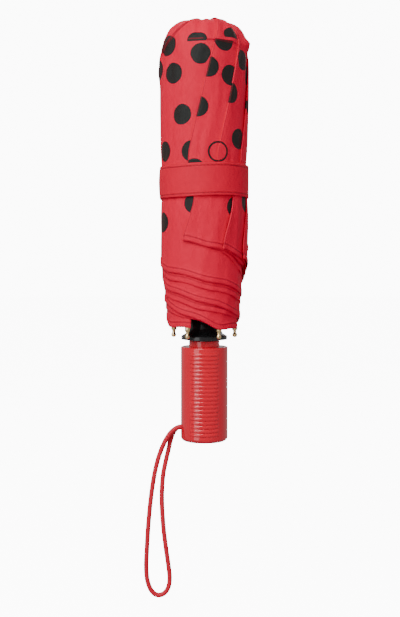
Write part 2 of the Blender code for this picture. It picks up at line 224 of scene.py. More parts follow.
class Shader:
    """A material's node tree around one Principled surface."""

    def __init__(self, name: str) -> None:
        """Starts an empty material of that name.

        Args:
            name: the material's name.
        """
        self.material = bpy.data.materials.new(name)
        self.material.use_nodes = True
        self.tree = self.material.node_tree
        self.tree.nodes.clear()
        self.surface = self.tree.nodes.new("ShaderNodeBsdfPrincipled")
        output = self.tree.nodes.new("ShaderNodeOutputMaterial")
        self.tree.links.new(self.surface.outputs[0], output.inputs["Surface"])

    def feed(self, socket: bpy.types.NodeSocket, value: object) -> None:
        """Links a signal or a socket, or sets a constant.

        Args:
            socket: the input.
            value: what it gets.
        """
        if isinstance(value, Signal):
            value = value.socket
        if isinstance(value, bpy.types.NodeSocket):
            self.tree.links.new(value, socket)
        else:
            socket.default_value = value

    def node(
        self, kind: str, settings: dict | None = None, sockets: dict | None = None
    ) -> bpy.types.Node:
        """Adds a node.

        Args:
            kind: the node's type name.
            settings: attributes, set before its sockets.
            sockets: values, sockets or signals by the input's name or number.

        Returns:
            The new node.
        """
        made = self.tree.nodes.new(kind)
        for key, value in (settings or {}).items():
            setattr(made, key, value)
        for key, value in (sockets or {}).items():
            self.feed(made.inputs[key], value)
        return made

    def noise(self, scale: float, detail: float = 3.0, where: object = None) -> Signal:
        """Fractal noise from 0 to 1 on Object coordinates, or on another vector.

        Args:
            scale: features in a metre, or in a unit of the vector.
            detail: octaves.
            where: the vector, or None for Object coordinates.

        Returns:
            The noise.
        """
        if where is None:
            where = self.node("ShaderNodeTexCoord").outputs["Object"]
        made = self.node(
            "ShaderNodeTexNoise", None, {"Vector": where, "Scale": scale, "Detail": detail}
        )
        return Signal(self, made.outputs[0])

    def uv(self) -> tuple[Signal, Signal]:
        """The two UV coordinates, which hold millimetres along the surface.

        Returns:
            Millimetres across and along.
        """
        where = self.node("ShaderNodeUVMap", {"uv_map": "surface_mm"}).outputs[0]
        split = self.node("ShaderNodeSeparateXYZ", None, {0: where})
        return Signal(self, split.outputs[0]), Signal(self, split.outputs[1])

    def attribute(self, name: str) -> Signal:
        """A number stored on the mesh's points."""
        made = self.node("ShaderNodeAttribute", {"attribute_name": name})
        return Signal(self, made.outputs["Fac"])

    def mix(self, share: object, first: object, second: object) -> bpy.types.NodeSocket:
        """A blend of two colours."""
        made = self.node("ShaderNodeMix", {"data_type": "RGBA"}, {0: share, 6: first, 7: second})
        return made.outputs[2]

    def bump(self, height: object, depth: float, below: object = None) -> bpy.types.NodeSocket:
        """A normal bent by a height signal, with depth in metres.

        Args:
            height: the signal, from 0 to 1.
            depth: metres at 1.
            below: the normal that is bent, if it is not the surface's own.

        Returns:
            The bent normal.
        """
        sockets = {"Height": height, "Distance": depth, "Strength": 1.0}
        if below is not None:
            sockets["Normal"] = below
        return self.node("ShaderNodeBump", None, sockets).outputs[0]

    def set(self, **sockets: object) -> None:
        """Sets the surface's sockets, named with underscores for spaces."""
        for key, value in sockets.items():
            label = key.replace("_", " ").title().replace("Ior", "IOR")
            self.feed(self.surface.inputs[label], value)


Colour = tuple[float, float, float]


def rgba(colour: Colour, brightness: float = 1.0) -> tuple[float, float, float, float]:
    """A colour with full opacity, made lighter or darker."""
    return (*(min(1.0, c * brightness) for c in colour), 1.0)


# ------------------------------------------------------------------ finishes
@dataclass(frozen=True)
class GlossPlastic:
    """Glossy moulded plastic with faint flow marks and handling scratches."""

    name: str
    colour: Colour
    roughness: float = 0.13
    coat: float = 0.5

    def material(self) -> bpy.types.Material:
        """Builds the plastic.

        Returns:
            The material.
        """
        shader = Shader(self.name)
        cloud = shader.noise(60.0)
        fine = shader.noise(900.0, 5.0)
        shade = shader.mix(cloud, rgba(self.colour, 0.9), rgba(self.colour, 1.08))
        shader.set(
            base_color=shade,
            roughness=cloud * 0.05 + fine * 0.05 + (self.roughness - 0.05),
            specular_ior_level=0.3,
            coat_weight=self.coat,
            coat_roughness=0.06,
            normal=shader.bump(shader.noise(220.0, 2.0), 0.00002),
        )
        return shader.material


@dataclass(frozen=True)
class Plating:
    """Polished or brushed metal, with a drawn grain along the shaft and duller patches."""

    name: str
    colour: Colour
    roughness: float
    grain: float = 0.0

    def material(self) -> bpy.types.Material:
        """Builds the metal.

        Returns:
            The material.
        """
        shader = Shader(self.name)
        where = shader.node("ShaderNodeTexCoord").outputs["Object"]
        drawn = shader.node(
            "ShaderNodeMapping", None, {"Vector": where, "Scale": (900.0, 900.0, 12.0)}
        )
        streak = shader.noise(1.0, 2.0, drawn.outputs[0])
        patch = shader.noise(120.0)
        shader.set(
            base_color=shader.mix(patch, rgba(self.colour, 0.86), rgba(self.colour)),
            metallic=1.0,
            roughness=patch * 0.08 + streak * self.grain + (self.roughness - 0.04),
            normal=shader.bump(streak, 0.00001 * (1 + 4 * self.grain)),
        )
        return shader.material


@dataclass(frozen=True)
class Cloth:
    """Fine plain-weave canopy cloth, plain or printed with spots, and optionally darkened along
    seams and creases as painted shade.
    """

    name: str
    colour: Colour
    printed: bool = False
    ink: Colour = (0.013, 0.015, 0.014)
    thread: float = 0.42
    seam_shade: bool = False

    def material(self) -> bpy.types.Material:
        """Builds the cloth.

        Returns:
            The material.
        """
        shader = Shader(self.name)
        across, along = shader.uv()
        turns = 2 * math.pi / self.thread
        weave = (across * turns).sine() * (along * turns).sine()
        cloud = shader.noise(28.0, 4.0)
        slub = shader.noise(420.0, 2.0)
        red = shader.mix(cloud, rgba(self.colour, 0.88), rgba(self.colour, 1.06))
        red = shader.mix(slub * 0.35, red, rgba(self.colour, 0.8))
        roughness = cloud * 0.08 + 0.56
        if self.printed:
            gap = shader.attribute("print_mm") + (slub - 0.5) * 0.22
            ink = 1.0 - gap.step(-0.12, 0.12)
            red = shader.mix(ink, red, rgba(self.ink))
            roughness = roughness - ink * 0.1
        # Painted shade: the cloth is darkened along stitch lines, panel seams, fold edges and
        # tucks, where shade falls in the creases.
        if self.seam_shade:
            seam = 1.0 - shader.attribute("seam_shade_mm").step(0.15, 0.75)
            red = shader.mix(seam * 0.6, red, rgba(self.colour, 0.3))
        crumple = shader.bump(shader.noise(95.0, 4.0), 0.0006)
        shader.set(
            base_color=red,
            roughness=roughness,
            sheen_weight=0.12,
            sheen_tint=rgba((0.9, 0.05, 0.05)),
            sheen_roughness=0.45,
            specular_ior_level=0.2,
            normal=shader.bump(weave, 0.00003, crumple),
        )
        return shader.material


@dataclass(frozen=True)
class Braid:
    """A round braided cord: two sets of strands that cross round it."""

    name: str
    colour: Colour
    strands: float = 8.0
    pitch: float = 3.4

    def material(self) -> bpy.types.Material:
        """Builds the braid.

        Returns:
            The material.
        """
        shader = Shader(self.name)
        around, along = shader.uv()
        lead = along * (2 * math.pi / self.pitch)
        turn = around * (2 * math.pi * self.strands / 2)
        weave = (turn + lead).sine() * (turn - lead).sine()
        fuzz = shader.noise(1500.0, 3.0)
        depth = weave * 0.5 + 0.5
        # Painted shade: the grooves between the strands are darker and the crossings lighter.
        shade = shader.mix(depth, rgba(self.colour, 0.86), rgba(self.colour, 1.08))
        shader.set(
            base_color=shader.mix(fuzz * 0.3, shade, rgba(self.colour, 0.85)),
            roughness=fuzz * 0.15 + 0.45,
            normal=shader.bump(depth * 0.8 + fuzz * 0.2, 0.0001),
        )
        return shader.material


@dataclass(frozen=True)
class Thread:
    """Sewing thread, twisted."""

    name: str
    colour: Colour

    def material(self) -> bpy.types.Material:
        """Builds the thread.

        Returns:
            The material.
        """
        shader = Shader(self.name)
        twist = shader.noise(2600.0, 2.0)
        shader.set(
            base_color=shader.mix(twist, rgba(self.colour, 0.7), rgba(self.colour, 1.1)),
            roughness=twist * 0.2 + 0.5,
        )
        return shader.material


RED: Colour = (0.84, 0.0, 0.04)


class Finishes:
    """Every finish of the umbrella, built once."""

    def __init__(self) -> None:
        """Builds the materials."""
        self.grip = GlossPlastic("grip_gloss_red", (0.72, 0.0, 0.02), 0.1, 0.6).material()
        self.black = GlossPlastic("black_gloss", (0.011, 0.011, 0.012), 0.24, 0.3).material()
        self.gold = Plating("gold_plating", (0.93, 0.66, 0.33), 0.2).material()
        self.steel = Plating("plated_steel", (0.68, 0.69, 0.71), 0.24, 0.12).material()
        self.rib = Plating("rib_steel", (0.2, 0.2, 0.21), 0.34, 0.1).material()
        self.printed = Cloth("printed_cloth", RED, printed=True, seam_shade=True).material()
        self.strap = Cloth("strap_cloth", (0.78, 0.0, 0.034), seam_shade=True).material()
        self.cord = Braid("cord_braid", (0.66, 0.0, 0.022)).material()
        self.thread = Thread("red_thread", (0.5, 0.012, 0.022)).material()


# ------------------------------------------------------------------ mesh helpers
def new_mesh(
    name: str, points: np.ndarray, faces: Sequence, finish: bpy.types.Material
) -> bpy.types.Object:
    """An object at the origin from points in metres and faces, shaded smooth.

    Args:
        name: its name.
        points: places in metres.
        faces: point numbers, face by face.
        finish: its material.

    Returns:
        The new object, in the scene.
    """
    mesh = bpy.data.meshes.new(name)
    mesh.from_pydata([tuple(p) for p in points], [], [tuple(int(i) for i in f) for f in faces])
    mesh.validate()
    mesh.shade_smooth()
    made = bpy.data.objects.new(name, mesh)
    bpy.context.scene.collection.objects.link(made)
    mesh.materials.append(finish)
    return made


def grid_faces(rows: int, columns: int, closed: bool = False, flip: bool = False) -> np.ndarray:
    """Quads of a grid of points stored row by row.

    Args:
        rows: number of rows.
        columns: points in a row.
        closed: whether the last column joins the first.
        flip: turns the faces over.

    Returns:
        One row of four point numbers for each face.
    """
    row, column = np.meshgrid(
        np.arange(rows - 1), np.arange(columns if closed else columns - 1), indexing="ij"
    )
    after = (column + 1) % columns
    corners = [
        row * columns + column,
        row * columns + after,
        (row + 1) * columns + after,
        (row + 1) * columns + column,
    ]
    if flip:
        corners.reverse()
    return np.stack([c.ravel() for c in corners], axis=1)


def set_uv(obj: bpy.types.Object, across: np.ndarray, along: np.ndarray) -> None:
    """Stores surface millimetres as the object's UV map.

    Args:
        obj: the object.
        across: mm across, for each point.
        along: mm along, for each point.
    """
    layer = obj.data.uv_layers.new(name="surface_mm")
    index = np.zeros(len(obj.data.loops), dtype=np.int32)
    obj.data.loops.foreach_get("vertex_index", index)
    flat = np.stack([across.ravel()[index], along.ravel()[index]], axis=1)
    layer.data.foreach_set("uv", flat.ravel().astype(np.float32))


def set_number(obj: bpy.types.Object, name: str, values: np.ndarray) -> None:
    """Stores one number for each point of the object."""
    attribute = obj.data.attributes.new(name, "FLOAT", "POINT")
    attribute.data.foreach_set("value", values.ravel().astype(np.float32))


def settle(obj: bpy.types.Object) -> bpy.types.Object:
    """Applies the object's modifiers, so that its mesh is final.

    Args:
        obj: the object.

    Returns:
        The same object, with no modifier left.
    """
    bpy.context.view_layer.update()
    seen = obj.evaluated_get(bpy.context.evaluated_depsgraph_get())
    mesh = bpy.data.meshes.new_from_object(seen)
    obj.modifiers.clear()
    obj.data = mesh
    return obj


def thicken(obj: bpy.types.Object, thickness: float) -> None:
    """Gives a sheet its thickness in mm, evenly to both sides.

    Args:
        obj: the object.
        thickness: mm.
    """
    thick = obj.modifiers.new("thickness", "SOLIDIFY")
    thick.thickness = thickness * MM
    thick.offset = 0.0
    settle(obj)


def lathe(
    name: str,
    frame: Frame,
    profile: Sequence[tuple[float, float]],
    finish: bpy.types.Material,
    segments: int = 96,
) -> bpy.types.Object:
    """A turned piece on the shaft's axis.

    Args:
        name: the piece's name.
        frame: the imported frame.
        profile: (radius, height) points down the outer side, from axis to axis.
        finish: its material.
        segments: steps round the axis.

    Returns:
        The new object, with merged poles and sharp edges kept.
    """
    radius = np.array([p[0] for p in profile])
    height = np.array([p[1] for p in profile])
    azimuth = np.arange(segments) * FULL_TURN / segments
    points = frame.place(
        np.repeat(radius, segments), np.tile(azimuth, len(radius)), np.repeat(height, segments)
    )
    made = new_mesh(name, points, grid_faces(len(radius), segments, closed=True, flip=True), finish)
    weld(made)
    return made


def weld(obj: bpy.types.Object, sharp_deg: float = 38.0) -> None:
    """Merges doubled points, turns the faces outwards and keeps the sharp edges.

    Args:
        obj: the object.
        sharp_deg: the angle from which an edge is sharp.
    """
    shape = bmesh.new()
    shape.from_mesh(obj.data)
    bmesh.ops.remove_doubles(shape, verts=shape.verts, dist=1e-6)
    bmesh.ops.recalc_face_normals(shape, faces=shape.faces)
    shape.to_mesh(obj.data)
    shape.free()
    obj.data.shade_smooth()
    obj.data.set_sharp_from_angle(angle=math.radians(sharp_deg))


def arc(
    centre: tuple[float, float], radius: float, start: float, end: float, steps: int = 6
) -> list[tuple[float, float]]:
    """Points on an arc in the (radius, height) plane.

    Args:
        centre: the arc's centre, mm.
        radius: its radius, mm.
        start: the first point's angle, degrees.
        end: the last point's angle, degrees.
        steps: spans between the points.

    Returns:
        The points in order.
    """
    turns = [math.radians(start + (end - start) * i / steps) for i in range(steps + 1)]
    return [(centre[0] + radius * math.cos(t), centre[1] + radius * math.sin(t)) for t in turns]


def smooth(value: np.ndarray, low: float, high: float) -> np.ndarray:
    """A smooth step from 0 at low to 1 at high."""
    share = np.clip((np.asarray(value, float) - low) / (high - low), 0, 1)
    return share * share * (3 - 2 * share)


def ripple(first: np.ndarray, second: np.ndarray, layer: float) -> np.ndarray:
    """Soft noise from -1 to 1 at pairs of coordinates, different on each layer.

    Args:
        first: one coordinate.
        second: the other.
        layer: which noise.

    Returns:
        The noise at each pair.
    """
    pairs = zip(np.ravel(first), np.ravel(second))
    values = [noise.noise(Vector((float(a), float(b), layer))) for a, b in pairs]
    return np.array(values).reshape(np.shape(first))


# ------------------------------------------------------------------ repeats by geometry nodes
class Repeat:
    """A geometry-nodes tree that puts copies of one small shape on a set of points."""

    def __init__(self, name: str) -> None:
        """Builds the tree: points, shape, size and finish in, plain mesh out.

        Args:
            name: the tree's name.
        """
        self.tree = bpy.data.node_groups.new(name, "GeometryNodeTree")
        face = self.tree.interface
        face.new_socket("Points", in_out="INPUT", socket_type="NodeSocketGeometry")
        face.new_socket("Shape", in_out="INPUT", socket_type="NodeSocketObject")
        face.new_socket("Size", in_out="INPUT", socket_type="NodeSocketFloat")
        face.new_socket("Size Spread", in_out="INPUT", socket_type="NodeSocketFloat")
        face.new_socket("Finish", in_out="INPUT", socket_type="NodeSocketMaterial")
        face.new_socket("Mesh", in_out="OUTPUT", socket_type="NodeSocketGeometry")
        start = self._node("NodeGroupInput")
        shape = self._node("GeometryNodeObjectInfo")
        self._link(start, "Shape", shape, "Object")
        along = self._named("along")
        outward = self._named("outward")
        first = self._node("FunctionNodeAlignEulerToVector")
        first.axis = "Z"
        self._link(outward, "Attribute", first, "Vector")
        second = self._node("FunctionNodeAlignEulerToVector")
        second.axis = "X"
        second.pivot_axis = "Z"
        self._link(first, "Rotation", second, "Rotation")
        self._link(along, "Attribute", second, "Vector")
        spread = self._node("FunctionNodeRandomValue")
        spread.data_type = "FLOAT"
        spread.inputs["Seed"].default_value = 7
        floats = [s for s in spread.inputs if s.type == "VALUE"]
        low, high = floats[0], floats[1]
        less, more = self._node("ShaderNodeMath"), self._node("ShaderNodeMath")
        less.operation, more.operation = "SUBTRACT", "ADD"
        for node, socket in ((less, low), (more, high)):
            self.tree.links.new(start.outputs["Size"], node.inputs[0])
            self.tree.links.new(start.outputs["Size Spread"], node.inputs[1])
            self.tree.links.new(node.outputs[0], socket)
        size = next(s for s in spread.outputs if s.type == "VALUE")
        copies = self._node("GeometryNodeInstanceOnPoints")
        self._link(start, "Points", copies, "Points")
        self._link(shape, "Geometry", copies, "Instance")
        self._link(second, "Rotation", copies, "Rotation")
        self.tree.links.new(size, copies.inputs["Scale"])
        real = self._node("GeometryNodeRealizeInstances")
        self._link(copies, "Instances", real, "Geometry")
        dress = self._node("GeometryNodeSetMaterial")
        self._link(real, "Geometry", dress, "Geometry")
        self._link(start, "Finish", dress, "Material")
        self._link(dress, "Geometry", self._node("NodeGroupOutput"), "Mesh")

    def _node(self, kind: str) -> bpy.types.Node:
        """Adds a node to the tree."""
        return self.tree.nodes.new(kind)

    def _named(self, name: str) -> bpy.types.Node:
        """Adds a node that reads a vector stored on the points.

        Args:
            name: the stored vector.

        Returns:
            The node.
        """
        made = self._node("GeometryNodeInputNamedAttribute")
        made.data_type = "FLOAT_VECTOR"
        made.inputs["Name"].default_value = name
        return made

    def _link(
        self, source: bpy.types.Node, output: str, target: bpy.types.Node, entry: str
    ) -> None:
        """Links a named output to a named input."""
        self.tree.links.new(source.outputs[output], target.inputs[entry])

    def make(
        self,
        name: str,
        points: np.ndarray,
        along: np.ndarray,
        outward: np.ndarray,
        shape: bpy.types.Object,
        finish: bpy.types.Material,
        spread: float = 0.0,
    ) -> bpy.types.Object:
        """Puts copies of a shape on points and returns them as one plain mesh.

        Args:
            name: the piece's name.
            points: places in metres.
            along: the direction of each copy's X.
            outward: the direction of each copy's Z.
            shape: the object that is copied, in metres about the origin.
            finish: the copies' material.
            spread: how much the copies' sizes vary, as a share.

        Returns:
            The new piece, with no modifier left.
        """
        piece = new_mesh(name, points, [], finish)
        for key, value in (("along", along), ("outward", outward)):
            attribute = piece.data.attributes.new(key, "FLOAT_VECTOR", "POINT")
            attribute.data.foreach_set("vector", np.asarray(value, np.float32).ravel())
        modifier = piece.modifiers.new("repeat", "NODES")
        modifier.node_group = self.tree
        values = {"Shape": shape, "Size": 1.0, "Size Spread": spread, "Finish": finish}
        for item in self.tree.interface.items_tree:
            if item.in_out == "INPUT" and item.name in values:
                modifier[item.identifier] = values[item.name]
        settle(piece)
        for key in ("along", "outward"):
            if key in piece.data.attributes:
                piece.data.attributes.remove(piece.data.attributes[key])
        return piece


def pattern_shape(name: str, profile: Callable[[bmesh.types.BMesh], None]) -> bpy.types.Object:
    """A small shape that a Repeat copies. It is removed with drop() afterwards.

    Args:
        name: the shape's name.
        profile: builds the shape in an empty mesh.

    Returns:
        The shape's object.
    """
    shape = bmesh.new()
    profile(shape)
    mesh = bpy.data.meshes.new(name)
    shape.to_mesh(mesh)
    shape.free()
    mesh.shade_smooth()
    made = bpy.data.objects.new(name, mesh)
    bpy.context.scene.collection.objects.link(made)
    return made


def drop(obj: bpy.types.Object) -> None:
    """Removes a helper object and its mesh.

    Args:
        obj: the object.
    """
    mesh = obj.data
    bpy.data.objects.remove(obj)
    bpy.data.meshes.remove(mesh)


def stitch_shape() -> bpy.types.Object:
    """One stitch: a short bar of thread along X.

    Returns:
        The stitch's object.
    """

    def shape(made: bmesh.types.BMesh) -> None:
        size = Matrix.Diagonal((1.5 * MM, 0.3 * MM, 0.24 * MM, 1.0))
        bmesh.ops.create_icosphere(made, subdivisions=1, radius=0.5, matrix=size)

    return pattern_shape("stitch_pattern", shape)


# ------------------------------------------------------------------ studio
@dataclass(frozen=True)
class Studio:
    """A plain pale sweep, soft light and the camera.

    The lens distance and the view's height are metres. The backdrop's strength is what the
    camera sees, the reflected strength what gloss mirrors, and the surround's what lights cloth.
    """

    lens_distance: float = 0.62
    view_height: float = 0.4085
    eye_height: float = 116.8
    view_centre: tuple[float, float] = (-2.8, 87.0)
    floor_height: float = -118.0
    surround: float = 0.3
    reflected: float = 0.42
    backdrop: float = 11.0

    def build(self, frame: Frame) -> None:
        """Adds the camera, the lights, the world and the sweep.

        Args:
            frame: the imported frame.
        """
        self._camera(frame)
        self._light("key", (-0.52, -0.85, 0.95), (0.75, 0.75), 15.5)
        self._light("strip", (-0.7, -0.88, 0.12), (0.55, 1.3), 5.0)
        self._light("fill", (1.1, -0.9, 0.2), (0.7, 1.4), 6.5).visible_glossy = False
        self._light("rim", (0.1, 0.9, 0.8), (0.8, 0.8), 4.0)
        self._world()
        self._sweep(frame)

    def _camera(self, frame: Frame) -> None:
        """Adds the camera, level, in front, and shifted down to the umbrella's middle.

        Args:
            frame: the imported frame.
        """
        scene = bpy.context.scene
        camera = bpy.data.cameras.new("camera")
        camera.lens = camera.sensor_width * self.lens_distance / self.view_height
        drop_down = (self.view_centre[1] - self.eye_height) * MM
        camera.shift_y = drop_down / self.view_height
        seat = bpy.data.objects.new("camera", camera)
        aside, up = self.view_centre[0] * MM, frame.up(self.eye_height)
        seat.location = (aside, -self.lens_distance, up)
        seat.rotation_euler = (math.radians(90), 0, 0)
        scene.collection.objects.link(seat)
        scene.camera = seat

    def _world(self) -> None:
        """Adds the even surround: one strength for the camera, for gloss and for the rest."""
        world = bpy.data.worlds.new("studio")
        world.use_nodes = True
        tree = world.node_tree
        rays = tree.nodes.new("ShaderNodeLightPath")
        mirrored = tree.nodes.new("ShaderNodeMapRange")
        mirrored.inputs["To Min"].default_value = self.surround
        mirrored.inputs["To Max"].default_value = self.reflected
        tree.links.new(rays.outputs["Is Glossy Ray"], mirrored.inputs["Value"])
        strength = tree.nodes.new("ShaderNodeMapRange")
        strength.inputs["To Max"].default_value = self.backdrop
        tree.links.new(mirrored.outputs["Result"], strength.inputs["To Min"])
        tree.links.new(rays.outputs["Is Camera Ray"], strength.inputs["Value"])
        background = tree.nodes["Background"]
        background.inputs["Color"].default_value = (1.0, 1.0, 1.0, 1.0)
        tree.links.new(strength.outputs["Result"], background.inputs["Strength"])
        bpy.context.scene.world = world

    def _light(
        self, name: str, place: Sequence[float], size: tuple[float, float], power: float
    ) -> bpy.types.Object:
        """Adds a soft light that faces the umbrella.

        Args:
            name: the light's name.
            place: where it stands, metres.
            size: its width and height, metres.
            power: watts.

        Returns:
            The light's object.
        """
        lamp = bpy.data.lights.new(name, "AREA")
        lamp.energy = power
        lamp.shape = "RECTANGLE"
        lamp.size, lamp.size_y = size
        seat = bpy.data.objects.new(name, lamp)
        seat.location = place
        aim = Vector((0, 0, 0.08)) - Vector(place)
        seat.rotation_euler = aim.to_track_quat("-Z", "Y").to_euler()
        bpy.context.scene.collection.objects.link(seat)
        return seat

    def _sweep(self, frame: Frame) -> None:
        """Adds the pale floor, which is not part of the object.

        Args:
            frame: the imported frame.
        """
        shader = Shader("pale_floor")
        shade = shader.mix(shader.noise(3.0), rgba((0.93, 0.93, 0.93)), rgba((0.95, 0.95, 0.95)))
        shader.set(
            base_color=shade, roughness=0.9, emission_color=shade, emission_strength=self.backdrop
        )
        low = frame.up(self.floor_height)
        wide = 6.0
        points = [(-wide, -wide, low), (wide, -wide, low), (wide, wide, low), (-wide, wide, low)]
        floor = new_mesh("floor", np.array(points), [(0, 1, 2, 3)], shader.material)
        floor.visible_diffuse = floor.visible_glossy = False


# ------------------------------------------------------------------ wrist cord
@dataclass
class WristCord:
    """The wrist cord: one braided loop, both ends of which go into the handle."""

    radius: float = 1.6
    sides: int = 20
    per_span: int = 8
    route: tuple[tuple[float, float, float], ...] = (
        (-12.4, -1.9, 9.1),
        (-15.6, -1.9, 9.1),
        (-18.4, -1.9, 8.2),
        (-22.4, -1.9, 4.9),
        (-26.5, -1.7, -1.8),
        (-29.8, -1.4, -10.1),
        (-32.3, -1.2, -19.5),
        (-34.3, -1.0, -31.0),
        (-35.9, -0.8, -44.0),
        (-37.1, -0.5, -57.6),
        (-37.9, -0.3, -71.1),
        (-38.4, -0.1, -83.1),
        (-37.8, 0.0, -92.0),
        (-35.8, 0.1, -98.3),
        (-32.8, 0.1, -101.9),
        (-29.4, 0.1, -102.7),
        (-26.0, 0.2, -101.1),
        (-23.6, 0.2, -97.1),
        (-22.9, 0.3, -91.0),
        (-23.8, 0.4, -82.6),
        (-25.3, 0.5, -72.2),
        (-26.8, 0.7, -60.2),
        (-27.8, 0.9, -47.7),
        (-28.1, 1.1, -35.7),
        (-27.3, 1.3, -23.7),
        (-25.5, 1.5, -14.3),
        (-23.8, 1.7, -7.0),
        (-22.4, 1.8, -0.8),
        (-20.8, 1.9, 3.9),
        (-18.6, 1.9, 7.2),
        (-15.9, 1.9, 8.3),
        (-12.4, 1.9, 8.3),
    )

    def line(self, frame: Frame) -> np.ndarray:
        """Points in metres on the smooth curve through the route.

        Args:
            frame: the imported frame.

        Returns:
            One row for each point.
        """
        route = np.array(self.route)
        padded = np.vstack([route[:1], route, route[-1:]])
        t = (np.arange(self.per_span) / self.per_span)[:, None]
        spans = []
        for p0, p1, p2, p3 in zip(padded, padded[1:], padded[2:], padded[3:]):
            cubic = (3 * p1 - p0 - 3 * p2 + p3) * t**3
            square = (2 * p0 - 5 * p1 + 4 * p2 - p3) * t**2
            spans.append(0.5 * (2 * p1 + (p2 - p0) * t + square + cubic))
        points = np.vstack([*spans, route[-1:]])
        points[:, :2] *= MM
        points[:, 2] = frame.base + points[:, 2] * MM
        return points

    def build(self, frame: Frame, finishes: Finishes) -> None:
        """Args:
            frame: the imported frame.
            finishes: the finishes.
        """
        line = self.line(frame)
        steps = np.linalg.norm(np.diff(line, axis=0), axis=1)
        run = np.concatenate([[0.0], np.cumsum(steps)])
        ahead = np.gradient(line, axis=0)
        ahead /= np.linalg.norm(ahead, axis=1)[:, None]
        side = np.cross(ahead[0], (0.0, 0.0, 1.0))
        rings = []
        turns = np.linspace(0, 2 * math.pi, self.sides + 1)
        for place, forward in zip(line, ahead):
            side = side - forward * (side @ forward)
            side /= np.linalg.norm(side)
            other = np.cross(forward, side)
            ring = np.outer(np.cos(turns), side) + np.outer(np.sin(turns), other)
            rings.append(place + ring * self.radius * MM)
        points = np.vstack(rings)
        around = np.tile(turns / (2 * math.pi), len(line))
        along = np.repeat(run / MM, self.sides + 1)
        faces = grid_faces(len(line), self.sides + 1)
        cord = new_mesh("wrist_cord_braid", points, faces, finishes.cord)
        set_uv(cord, around, along)
        self._close(cord)
        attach(cord, "handle")
        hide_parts("wrist_cord")
        log.info("wrist cord: %.0f mm", run[-1] / MM)

    def _close(self, cord: bpy.types.Object) -> None:
        """Merges the tube's seam and caps its ends.

        Args:
            cord: the tube, still open.
        """
        shape = bmesh.new()
        shape.from_mesh(cord.data)
        bmesh.ops.remove_doubles(shape, verts=shape.verts, dist=1e-7)
        ends = [e for e in shape.edges if e.is_boundary]
        bmesh.ops.holes_fill(shape, edges=ends)
        bmesh.ops.recalc_face_normals(shape, faces=shape.faces)
        shape.to_mesh(cord.data)
        shape.free()
        cord.data.shade_smooth()


